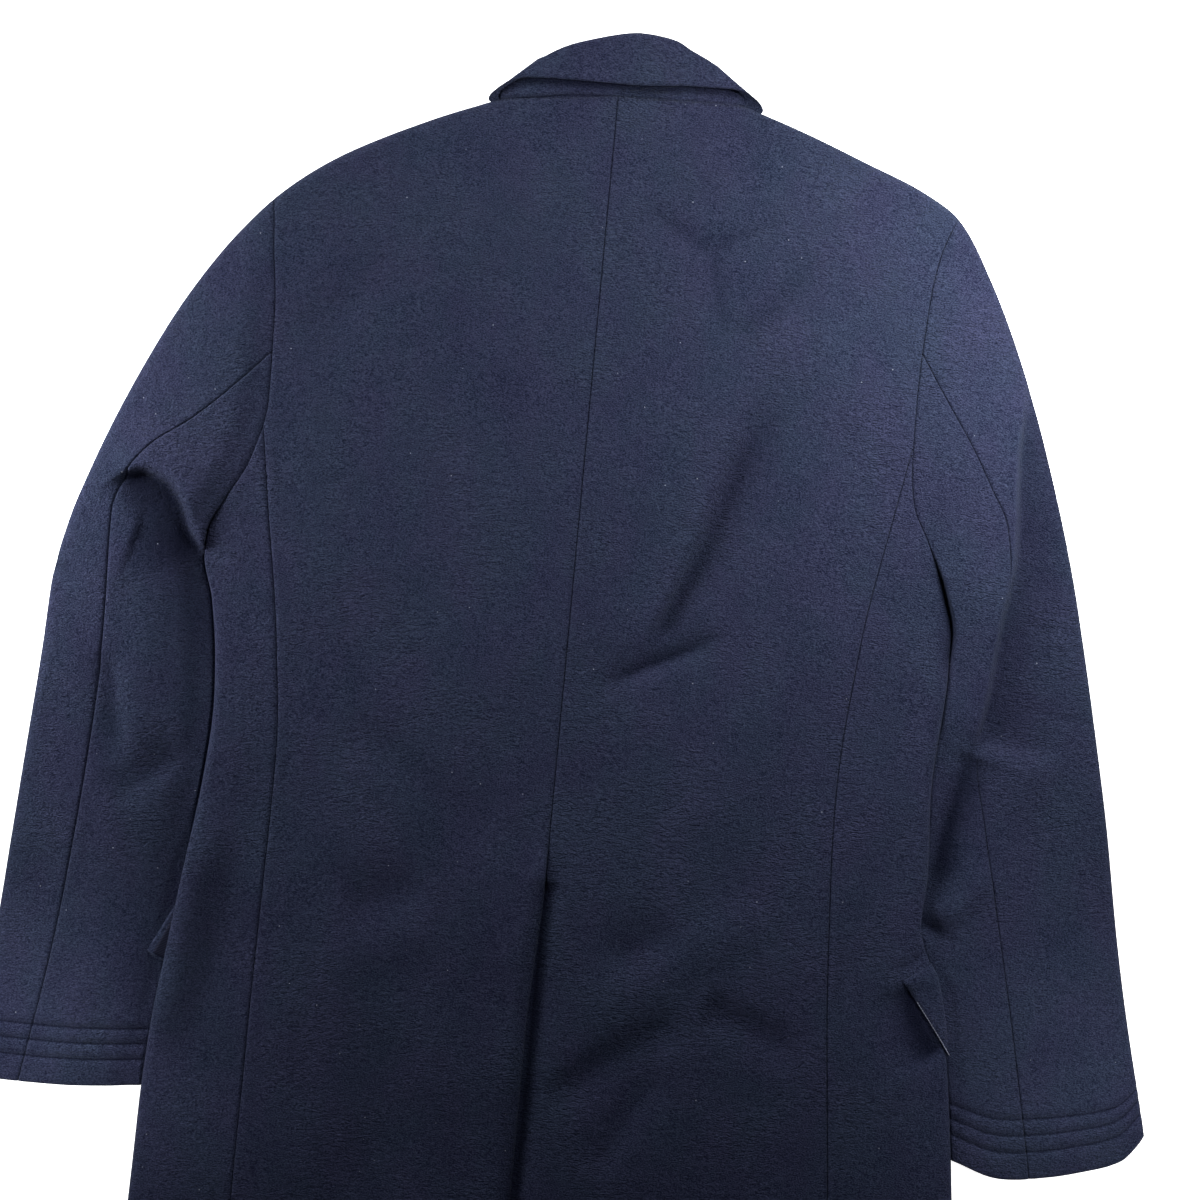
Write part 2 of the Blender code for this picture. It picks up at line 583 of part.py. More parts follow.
def add_right_flap():
    """Right pocket flap: the side body's own places moved out, round the edge and under it."""
    q = np.linspace(0.0, 1.0, 7)[:, None]
    top_share = np.array([1.0, 0.6, 0.3, 0.1, 0.02])[None, :]
    under_in = np.array([0.15, 2.2, 7.5, 20.0, 50.0, 90.0, 130.0])[None, :]
    rear = FLAP_REAR * (1.0 - q) + 0.8 * q
    corner_drop, seam_rise, low_rise = 14.0, 0.12, 0.1
    top_depth = (FLAP_SEAM + corner_drop * top_share) * (1.0 - q) + FLAP_LOW * q
    under_depth = (FLAP_SEAM - seam_rise * under_in) * (1.0 - q) + (FLAP_LOW - low_rise * under_in) * q
    grids = []
    for out in (2.0 * CLEAR + FLAP_WALL, 2.0 * CLEAR):
        blocks = []
        for face, inward, depth in (("top", rear * top_share, top_depth), ("under", under_in, under_depth)):
            inward = np.broadcast_to(inward, depth.shape)
            slope = slant(RIGHT.parting, depth)
            reach = curve(RIGHT.parting, depth) - 0.5 * SEAM - (inward - out) * slope
            height = moved_out(face, reach, depth, out, inward)
            blocks.append(np.stack([reach, depth, height], axis=-1))
        grids.append(np.concatenate(blocks, axis=1))
    add_wall("flap_right", grids[0], grids[1], whole(grids[0]), NAVY)


def moved_out(face, reach, depth, out, inward):
    """Height of the right edge's own profile, moved out from the cloth by a distance."""
    top, low = top_height(RIGHT, "body", reach, depth), lift(RIGHT, reach, depth)
    middle = 0.5 * (top + low)
    full = quarter(inward, parting_round(RIGHT, depth) + out, 0.0)
    half = (top - middle + out) * full
    return middle + half if face == "top" else middle - half


for old in list(bpy.data.objects):
    bpy.data.objects.remove(old, do_unlink=True)
PARTS = bpy.data.collections.new("overcoat")
bpy.context.scene.collection.children.link(PARTS)
for half_coat in (LEFT, RIGHT):
    add_back(half_coat)
    add_side(half_coat)
    add_front(half_coat)
    add_lapel(half_coat)
    add_top_sleeve(half_coat)
    add_under_sleeve(half_coat)
add_collar_fall()
add_collar_stand()
add_left_flap()
add_right_flap()
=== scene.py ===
"""Looks of a navy wool overcoat that lies flat on its fronts with its back upwards.

Tables are in millimetres. A place on the coat is an across value, x, to the right of the
centre-back seam, and a depth below the nape seam. On one half of the coat, "reach" is the
distance out from that seam. The coat is two sheets of cloth, a top one and an under one, which
meet along its folded edges. Each panel is a closed wall between two grids of places.
"""
import logging
from dataclasses import dataclass
from enum import Enum
from typing import Callable, Sequence

import bpy
import numpy as np
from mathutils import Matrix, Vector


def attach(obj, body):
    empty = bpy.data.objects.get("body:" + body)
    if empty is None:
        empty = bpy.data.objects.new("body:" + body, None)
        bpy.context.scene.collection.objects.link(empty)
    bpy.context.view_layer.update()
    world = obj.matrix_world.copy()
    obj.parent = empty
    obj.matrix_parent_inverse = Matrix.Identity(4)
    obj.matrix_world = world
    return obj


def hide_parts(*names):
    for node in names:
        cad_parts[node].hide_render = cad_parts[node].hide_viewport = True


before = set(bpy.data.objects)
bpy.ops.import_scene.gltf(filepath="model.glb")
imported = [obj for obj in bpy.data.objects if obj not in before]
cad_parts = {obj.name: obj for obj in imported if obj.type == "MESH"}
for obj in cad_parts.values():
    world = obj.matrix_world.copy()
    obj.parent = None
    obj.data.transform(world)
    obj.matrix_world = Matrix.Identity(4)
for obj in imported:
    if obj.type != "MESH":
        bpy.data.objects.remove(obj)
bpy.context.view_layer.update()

LOG = logging.getLogger("overcoat")
Array = np.ndarray

MM = 0.001
BODY = "root"
SHADE_AND_SEAM_DARK = "shade_and_seam_dark"     # attribute: painted shade in folds, hollows and under the collar's leaf, and dark seam lines, partly their own colour and partly painted shade in their grooves

# Driving sizes of the cut
LENGTH = 1000.0         # nape seam to hem
ORIGIN_DEPTH = 480.0    # depth of the frame's origin below the nape seam
WALL = 2.2              # melton as it shows at an edge
SEAM = -0.24            # how far panels reach past each other at the foot of a seam, as a gap
FLAT_HEIGHT = 9.0       # top face of two layers lying on each other
EDGE_ROUND = 7.0        # how far in the rounding of a folded edge reaches
EDGE_MIN = 0.8          # the same just below the underarm
EDGE_LEAST = 0.6        # the same at its least, once the inset is taken off
ARM_EDGE_HEIGHT = 5.2   # height of a sleeve along its inner edge
ARM_BAND = 4.0          # thin band along a sleeve's inner edge
ARM_ROUND = 0.4         # its rounding, as a share of the body's beside it
UNDERLAP = 45.0         # part of the right back that lies under the left one at the vent
VENT_TOP = 557.0
VENT_STEP = 2.9         # how far the left back is raised to lie on the underlap
VENT_LEAN = 4.0         # how far the vent's edge swings off the centre line
FRONT_LAP = 25.0        # each front reaches this far past the centre
BREAK_DEPTH = 330.0     # where the lapels start to turn
LAPEL_STEP = 3.0        # room under a front for the lapel, collar or the other front
FLAP_STEP = 3.9         # room under a front for the pocket flap
FLAP_WALL = 1.8
LINING_WALL = 0.6
LINING_GAP = 0.6
FLAP_HUMP = 6.8         # how much the left edge rises over the flap and the sleeve under it
FLAP_DEPTH = 610.0      # middle of the flaps
FLAP_SEAM = 584.0       # upper and lower edge of the right flap where it turns the coat's edge
FLAP_LOW = 647.0
FLAP_REAR = 24.0        # how far the right flap's upper rear corner lies in on the back
CUFF_BEND = 130.0       # length of sleeve over which rows bend to the cuff's own line
FORE_SHARE = 0.28       # place of the sleeve's fore seam, as a share of its width
CLEAR = 0.4
CORE = 0.12             # half of the least gap inside a folded edge
MARGIN = 36.0           # how far a step in the cloth stays full beyond the piece under it
RAMP = 45.0             # length over which the step then fades out

# Fineness of the grids
SEEN_DEPTH = 790.0      # rows lie close together down to here
FINE_STEP = 3.2         # between those rows
SKIRT_STEP = 6.0        # between rows below that
COARSE = 3              # an under panel takes one row in this many
START_GAP = 0.5         # how far below the start of its seam a panel's first row lies
NO_LAP = np.zeros(0)
SEAM_STOPS = (0.0, 0.3, 0.7, 1.2, 1.9, 2.8, 4.2, 6.4, 9.5)
FOLD_ANGLES = (90.0, 78.0, 67.0, 56.0, 46.0, 36.0, 27.0, 18.0, 10.0)

# Sewing
SEAM_DEEP = 1.1         # how far cloth dips into an ironed seam
SEAM_WIDE = 2.0
SEAM_DARK = 0.4         # how far from a seam its line is darkened, partly as its own dark line and partly as painted shade in its groove
CUFF_ROWS = (40.0, 29.5, 18.5)      # stitched rows, measured up from the cuff's edge


class Face(Enum):
    """The two sheets of the coat."""
    TOP = "top"
    UNDER = "under"


class Zone(Enum):
    """Parts of the coat whose cloth lies at different heights."""
    BODY = "body"
    SLEEVE = "sleeve"
    VENT = "vent"


class Held(Enum):
    """How a sheet of cloth is held."""
    LAID = "laid"
    FOLDED = "folded"


def ease(share: Array) -> Array:
    """Goes softly from 0 to 1 as the share does: 3s^2 - 2s^3."""
    share = np.clip(share, 0.0, 1.0)
    return share * share * (3.0 - 2.0 * share)


@dataclass(frozen=True)
class Line:
    """Smooth line through rows of (place, value, ...) that never overshoots."""
    rows: tuple

    def at(self, place: Array) -> Array:
        """Monotone cubic between the rows, and straight past both ends.

        Args:
            place: where the line is read.

        Returns:
            The value there, or the values on a last axis if a row has several.
        """
        table = np.array(self.rows, dtype=float)
        stop, value = table[:, 0], table[:, 1:]
        gap = np.diff(stop)[:, None]
        rate = np.diff(value, axis=0) / gap
        before, after = rate[:-1], rate[1:]
        heavy, light = 2 * gap[1:] + gap[:-1], gap[1:] + 2 * gap[:-1]
        same_way = before * after > 0
        safe_before, safe_after = np.where(same_way, before, 1.0), np.where(same_way, after, 1.0)
        mean = (heavy + light) / (heavy / safe_before + light / safe_after)
        slope = np.concatenate([rate[:1], np.where(same_way, mean, 0.0), rate[-1:]])
        place = np.asarray(place, dtype=float)
        step = np.clip(np.searchsorted(stop, place) - 1, 0, len(stop) - 2)
        width = (stop[step + 1] - stop[step])[..., None]
        t = (place - stop[step])[..., None] / width
        past = np.where(t < 0, t, np.where(t > 1, t - 1, 0.0))
        t = np.clip(t, 0, 1)
        inside = ((2 * t**3 - 3 * t**2 + 1) * value[step] + (t**3 - 2 * t**2 + t) * width * slope[step]
                  + (3 * t**2 - 2 * t**3) * value[step + 1] + (t**3 - t**2) * width * slope[step + 1])
        result = inside + np.where(past < 0, slope[step], slope[step + 1]) * past * width
        return result[..., 0] if value.shape[1] == 1 else result

    def slant(self, place: Array) -> Array:
        """Length of the line for each unit of depth that it crosses."""
        return np.sqrt(1.0 + (self.at(place + 0.5) - self.at(place - 0.5))**2)

    @property
    def start(self) -> float:
        """Place of the first row."""
        return float(self.rows[0][0])

    @property
    def last(self) -> float:
        """Value of the last row."""
        return float(self.rows[-1][1])


@dataclass(frozen=True)
class HalfCut:
    """Cut of one half of the coat, as lines of (depth, reach)."""
    name: str
    out: int                # -1 on the viewer's left, 1 on the right
    outline: Line           # shoulder, then the sleeve's outer edge
    parting: Line           # armhole, then the edge where body and sleeve part
    side_seam: Line
    back_seam: Line         # hind seam of the sleeve
    cuff: Line              # (share from the outer to the inner edge, depth)
    lapel: Line             # outer edge of collar and lapel on the under face
    roll: Line              # front neck edge, roll line and front edge
    neck: float             # depth of the neck point
    tip: float              # depth of the shoulder point
    underarm: float
    tucked: tuple = (0.0, 0.0)      # depths between which a fold hides the hind seam

    def seam_shows(self, depth: Array) -> Array:
        """Share, 0 to 1, of the hind seam that shows at a depth."""
        first, last = self.tucked
        fade = 14.0
        return 1.0 - ease((depth - first) / fade) * ease((last - depth) / fade)


LEFT_CUT = HalfCut(
    name="left", out=-1, neck=9.0, tip=92.0, underarm=341.0,
    outline=Line(((9, 83), (27, 127), (62, 195), (92, 233), (132, 267), (199, 306), (287, 343),
                  (331, 357), (373, 365), (416, 367), (501, 373), (586, 379), (725, 390))),
    parting=Line(((92, 233), (129, 230), (164, 226), (234, 224), (277, 233), (306, 248), (329, 258),
                  (345, 259), (377, 251), (419, 245), (454, 243), (524, 248), (617, 258), (716, 269),
                  (797, 271), (1000, 276))),
    side_seam=Line(((252, 226), (304, 218), (401, 203), (484, 196), (674, 198), (1000, 200))),
    back_seam=Line(((199, 224), (226, 248), (253, 277), (271, 301), (292, 317), (320, 326), (412, 324),
                    (496, 327), (617, 338), (725, 355))),
    cuff=Line(((0.0, 725), (0.5, 724), (1.0, 721))),
    lapel=Line(((0, 100), (40, 106), (95, 119), (325, -21))),
    roll=Line(((0, 72), (12, 69), (330, -25), (380, -25), (1000, -25))))

RIGHT_CUT = HalfCut(
    name="right", out=1, neck=-2.0, tip=62.0, underarm=300.0, tucked=(304.0, 446.0),
    outline=Line(((-2, 88), (11, 128), (28, 174), (45, 217), (62, 245), (103, 273), (184, 310),
                  (225, 325), (307, 350), (390, 370), (472, 388), (576, 408), (693, 436))),
    parting=Line(((62, 245), (93, 235), (121, 231), (192, 228), (240, 229), (266, 233), (292, 246),
                  (322, 260), (357, 269), (392, 268), (463, 264), (525, 267), (556, 265), (600, 280),
                  (643, 290), (744, 304), (1000, 326))),
    side_seam=Line(((227, 228), (277, 219), (370, 204), (476, 197), (588, 202), (752, 217), (1000, 238))),
    back_seam=Line(((160, 229), (190, 248), (220, 268), (250, 285), (275, 298), (310, 303), (397, 296),
                    (436, 293), (487, 303), (584, 325), (680, 347), (729, 357))),
    cuff=Line(((0.0, 692), (0.12, 710), (0.32, 719), (0.52, 725), (0.75, 729), (1.0, 721))),
    lapel=Line(((0, 108), (30, 116), (90, 121), (325, 31))),
    roll=Line(((-10, 80), (5, 76), (330, 27), (400, 27), (460, -25), (1000, -25))))


@dataclass(frozen=True)
class Crease:
    """A soft ridge, or a trough if its rise is negative, along a path drawn on the cloth."""
    path: tuple             # places (across, depth) that it passes
    rise: float
    wide_left: float        # on the left of someone who walks along the path
    wide_right: float
    fade_in: float = 0.3    # share of its length over which it grows, then fades
    fade_out: float = 0.3
    taper: float = 1.0      # its width at the path's end, as a share of that at the start
    dark: float = 0.0       # share of painted shade that it lays in its hollow

    def line(self) -> Array:
        """Points along a smooth curve through the path's places."""
        spans, steps = len(self.path) - 1, 8
        stops = np.linspace(0.0, 1.0, spans + 1)
        rows = tuple((stop, *place) for stop, place in zip(stops, self.path))
        return Line(rows).at(np.linspace(0.0, 1.0, steps * spans + 1))

    def bell(self, aside: Array, scale: Array) -> Array:
        """Bell across the path, 0 to 1, whose two flanks differ."""
        return np.exp(-(aside / (np.where(aside > 0, self.wide_left, self.wide_right) * scale))**2)

    def profile(self, aside: Array, scale: Array) -> Array:
        """Lift at distances to the path's left, where its width is scaled."""
        return self.rise * self.bell(aside, scale)

    def hollow(self, aside: Array, scale: Array) -> Array:
        """Painted shade at distances to the path's left: a bell half as wide as the fold."""
        return self.dark * self.bell(aside, 0.5 * scale)

    def height(self, across: Array, depth: Array) -> Array:
        """How far the cloth is lifted at places."""
        return self.lay(across, depth, self.profile)

    def shade(self, across: Array, depth: Array) -> Array:
        """Share of painted shade at places."""
        return self.lay(across, depth, self.hollow)

    def lay(self, across: Array, depth: Array, profile: Callable[[Array, Array], Array]) -> Array:
        """Value at places: the profile at the nearest point of the path, eased at both ends.

        Args:
            across: places across the coat.
            depth: their depths below the nape.
            profile: value at distances to the path's left, where its width is scaled.

        Returns:
            The value at each place.
        """
        across, depth = np.broadcast_arrays(across, depth)
        result = np.zeros(across.shape)
        widths_out = 2.6
        line, room = self.line(), widths_out * max(self.wide_left, self.wide_right)
        low, high = line.min(axis=0) - room, line.max(axis=0) + room
        near = (across > low[0]) & (across < high[0]) & (depth > low[1]) & (depth < high[1])
        if not near.any():
            return result
        step = np.diff(line, axis=0)
        off = np.stack([across[near], depth[near]], axis=-1)[:, None, :] - line[None, :-1]
        share = np.clip((off * step).sum(-1) / (step**2).sum(-1), 0.0, 1.0)
        gap = np.linalg.norm(off - share[..., None] * step, axis=-1)
        pick = np.arange(len(gap)), np.argmin(gap, axis=1)
        turn = off[..., 0] * step[:, 1] - off[..., 1] * step[:, 0]
        aside, along = gap[pick] * np.sign(turn[pick]), (pick[1] + share[pick]) / len(step)
        fade = ease(along / self.fade_in) * ease((1.0 - along) / self.fade_out)
        result[near] = fade * profile(aside, 1.0 + (self.taper - 1.0) * along)
        return result


@dataclass(frozen=True)
class Lip(Crease):
    """A fold whose left side stands up and whose right side drops away below it."""
    drop: float = 2.0       # how far the cloth falls on the right
    edge: float = 5.0       # length of the slope between the two

    def profile(self, aside: Array, scale: Array) -> Array:
        """High bell on the left, low bell on the right, and a soft step between them."""
        left = ease(aside / (self.edge * scale) + 0.5)
        return (left * self.rise - (1.0 - left) * self.drop) * self.bell(aside, scale)

    def hollow(self, aside: Array, scale: Array) -> Array:
        """Painted shade: most at the foot of the step, then less down the right side."""
        return self.dark * (1.0 - ease(aside / (self.edge * scale) + 0.55)) * self.bell(aside, scale)


# Folds of the sleeves' top sheet, placed as the cloth shows them
SLEEVE_FOLDS = (
    # right: its inner part stands up beside the outer part, then meets a cross fold
    Lip(((287, 441), (292.5, 416), (297, 386), (300, 345), (304, 319), (306.5, 300), (306, 280), (303, 227),
         (304, 202), (306, 172), (309, 135)), 4.8, 28, 46, 0.12, 0.3, dark=0.42, drop=2.6, edge=8.0),
    Crease(((322, 226), (350, 231), (376, 228)), -0.5, 3.0, 4.0, dark=0.12),
    Crease(((318, 282), (352, 290), (372, 288)), -0.6, 3.0, 4.0, dark=0.15),
    Crease(((316, 341), (344, 346), (378, 343)), -0.6, 3.5, 4.0, dark=0.15),
    Crease(((310, 398), (350, 405), (386, 402)), -0.7, 3.5, 5.0, dark=0.18),
    Lip(((356, 436), (324, 433), (290, 426)), 3.2, 40, 28, 0.35, 0.2, drop=1.8, edge=16.0),
    Crease(((290, 434), (284, 460), (276, 505), (268, 556)), -3.2, 22, 12, 0.1, 0.25, dark=0.75),
    Crease(((312, 506), (292, 538), (268, 558)), 3.0, 10, 12),
    Crease(((262, 554), (276, 560), (298, 568)), -3.8, 9, 8, 0.05, 0.5, dark=0.8),
    Crease(((244, 280), (259, 310), (266, 330), (271, 358), (270, 395)), 3.2, 16, 16),
    # left: a lip under the arm with a hollow below it, and dents further down
    Lip(((-340, 312), (-322, 297), (-305, 291), (-287, 298), (-276, 312), (-269, 330), (-257, 346),
         (-246, 380), (-239, 440), (-241, 540)), 4.4, 30, 54, 0.19, 0.45, 0.6, dark=1.0, drop=3.8, edge=7.0),
    # mostly painted shade: a shallow trough that darkens the hollow below the lip
    Crease(((-324, 312), (-305, 305), (-289, 314), (-280, 327), (-271, 345), (-260, 364), (-253, 400)),
           -0.6, 14, 42, 0.3, 0.45, dark=0.72),
    Crease(((-321, 412), (-314, 452), (-303, 500)), -2.8, 8, 12, dark=0.35),
    Crease(((-254, 478), (-285, 500), (-314, 526)), -2.6, 12, 16, dark=0.3),
    Crease(((-374, 356), (-336, 372)), -2.4, 8, 8, 0.1, 0.7, dark=0.4),
    Crease(((-378, 560), (-330, 600), (-290, 640)), -1.6, 20, 24),
)

# Folds of the body's top sheet
BODY_FOLDS = (
    # hollow beside the right sleeve
    Crease(((244, 284), (259, 310), (266, 330), (270, 358), (266, 392)), -3.4, 10, 15, 0.5, 0.2, dark=0.8),
    # right back: two nested Vs below the collar, then a long valley and a short deep one
    Crease(((22, 69), (50, 86), (77, 100)), -2.8, 7, 10, 0.4, 0.08, dark=0.32),
    Crease(((77, 100), (92, 90), (128, 72)), -2.4, 7, 9, 0.08, 0.5, dark=0.25),
    Crease(((76, 98), (80, 122), (87, 147), (95, 160)), -2.0, 12, 7, 0.1, 0.15, dark=0.25),
    Crease(((95, 160), (123, 133), (162, 80)), -2.8, 14, 20, 0.15, 0.5, dark=0.25),
    Lip(((56, 380), (68, 350), (84, 308), (103, 245), (119, 196), (142, 136)), 2.6, 7, 8.5, 0.14, 0.5, 4.2,
        dark=0.5, drop=4.4, edge=6.5),
    Crease(((108, 370), (80, 384), (55, 396), (14, 419)), -3.6, 9, 20, 0.2, 0.3, dark=0.2),
    # mostly painted shade along the trough above
    Crease(((106, 370), (80, 384), (55, 396), (20, 414)), -0.8, 5, 9, 0.3, 0.25, dark=0.62),
    Crease(((124, 350), (70, 378), (26, 402)), 2.2, 9, 24),
    Crease(((200, 330), (160, 400), (130, 470), (90, 530)), 1.8, 34, 30),
    # right back beside the vent: creases that spread like the ribs of a fan, then the vent's edge
    Crease(((9, 710), (34, 690), (62, 667), (88, 649), (112, 630)), -3.0, 11, 18, 0.25, 0.25, dark=0.22),
    Crease(((116, 626), (145, 636), (167, 645), (198, 664)), -3.4, 10, 16, 0.15, 0.3, dark=0.3),
    Crease(((50, 760), (67, 721), (84, 690), (104, 668)), -2.8, 18, 11, 0.2, 0.4, dark=0.2),
    Crease(((46, 603), (72, 588), (98, 571)), -2.2, 16, 18, dark=0.25),
    Crease(((20, 652), (70, 618), (130, 574), (168, 552)), 2.4, 16, 20),
    Crease(((1, 548), (0, 600), (-1, 700), (-3, 800), (-4, 960)), -3.0, 6.5, 6, 0.05, 0.2, 1.6, dark=0.9),
    # hollow beside the right flap, and the welt above it
    Crease(((257, 597), (263, 610), (272, 631), (285, 650)), -3.2, 12, 20, 0.3, 0.1, 1.5, dark=0.95),
    Crease(((250, 591), (261, 583), (274, 571)), -1.2, 3.0, 3.0, 0.1, 0.1, dark=0.4),
    # left back: soft slanting dents
    Crease(((-152, 440), (-108, 470), (-66, 499), (-34, 518)), -2.4, 18, 22, dark=0.2),
    Crease(((-150, 466), (-100, 500), (-50, 540)), 1.8, 18, 20),
    Crease(((-140, 580), (-112, 570), (-78, 558)), -2.2, 18, 18, dark=0.2),
    Crease(((-160, 624), (-110, 606), (-60, 584)), 1.8, 22, 20),
    Crease(((-140, 110), (-176, 150), (-214, 200)), -2.4, 24, 22, dark=0.15),
    # skirt: long shallow dents
    Crease(((-60, 700), (-110, 760), (-150, 860)), -1.6, 26, 30),
    Crease(((120, 780), (90, 860), (110, 950)), -1.8, 26, 24),
)

FOLDS = {Zone.SLEEVE: SLEEVE_FOLDS, Zone.BODY: BODY_FOLDS, Zone.VENT: BODY_FOLDS}


@dataclass(frozen=True)
class Swell:
    """Low uneven waves of cloth that has been worn, from a few seeded sines."""
    seed: int = 11
    waves: int = 9
    shortest: float = 55.0
    longest: float = 210.0
    rise: float = 0.28

    def height(self, across: Array, depth: Array) -> Array:
        """Sum of sines that run in seeded directions at seeded lengths."""
        dice = np.random.default_rng(self.seed)
        total = np.zeros(np.broadcast(across, depth).shape)
        for _ in range(self.waves):
            turn, start = dice.uniform(0.0, np.pi), dice.uniform(0.0, 2 * np.pi)
            length = dice.uniform(self.shortest, self.longest)
            phase = 2 * np.pi / length * (across * np.cos(turn) + depth * np.sin(turn))
            total = total + self.rise * np.sqrt(length / self.longest) * np.sin(phase + start)
        return total


SWELL = Swell()


def relief(across: Array, depth: Array, zone: Zone) -> Array:
    """Lift of the top sheet: the folds of this part of the coat, plus the swell."""
    return sum(fold.height(across, depth) for fold in FOLDS[zone]) + SWELL.height(across, depth)


def quarter(distance: Array, round_in: Array, inset: float) -> Array:
    """Quarter-ellipse profile, 0 to 1, of a folded edge that is drawn in by the inset."""
    share = np.clip((distance - inset) / np.maximum(round_in - inset, EDGE_LEAST), 0.0, 1.0)
    return np.sqrt(1.0 - (1.0 - share)**2)


def groove(distance: Array, deep: float = SEAM_DEEP, wide: float = SEAM_WIDE) -> Array:
    """Dip of cloth beside a seam: a square law over its width, then a faint swelling."""
    swelling, swell_at, swell_wide = 0.16 * deep, 2.4 * wide, 1.3 * wide
    dip = deep * (1.0 - np.clip(distance / wide, 0.0, 1.0))**2
    return dip - swelling * np.exp(-((distance - swell_at) / swell_wide)**2)


def foot(distance: Array) -> Array:
    """Share of darkening at a distance from a seam: its own dark line, plus painted shade in its groove."""
    return np.exp(-(distance / SEAM_DARK)**2)


def flap_fill(depth: Array) -> Array:
    """Share of the right flap's wall at a depth: thin at its seam and its tip, full between."""
    grow, thin, at_seam, at_tip, least = 9.0, 16.0, 0.1, 0.05, 0.12
    fill = ease((depth - FLAP_SEAM) / grow + at_seam) * ease((FLAP_LOW - depth) / thin + at_tip)
    return np.maximum(fill, least)


def spread(seam: Array, edge: Array, round_in: Array, inset: Array, flats: int, nose: float) -> Array:
    """Places across each row, from a seam to an edge, close together at both ends.

    Args:
        seam: reach of the seam in each row.
        edge: reach of the edge in each row.
        round_in: how far in the edge's rounding goes.
        inset: how far the edge is drawn in.
        flats: number of even steps between the two ends.
        nose: last angle of the rounding, in degrees.

    Returns:
        One row of reaches for each row.
    """
    most_inset, most_curl, most_lead = 0.42, 0.55, 0.3
    width = edge - seam
    span, sign = np.abs(width), np.sign(width)[:, None]
    inset = np.minimum(inset, most_inset * span)
    angles = np.radians(np.array(FOLD_ANGLES + (nose,)))
    curl = np.minimum(np.maximum(round_in - inset, EDGE_LEAST), most_curl * span)
    fold = edge[:, None] - sign * (inset[:, None] + curl[:, None] * (1.0 - np.cos(angles))[None, :])
    room = np.abs(fold[:, :1] - seam[:, None])
    lead = np.minimum(1.0, most_lead * room / SEAM_STOPS[-1]) * np.array(SEAM_STOPS)[None, :]
    share = np.linspace(0.0, 1.0, flats + 1)[None, 1:-1]
    flat = lead[:, -1:] + (room - lead[:, -1:]) * share
    return np.concatenate([seam[:, None] + sign * lead, seam[:, None] + sign * flat, fold], axis=1)


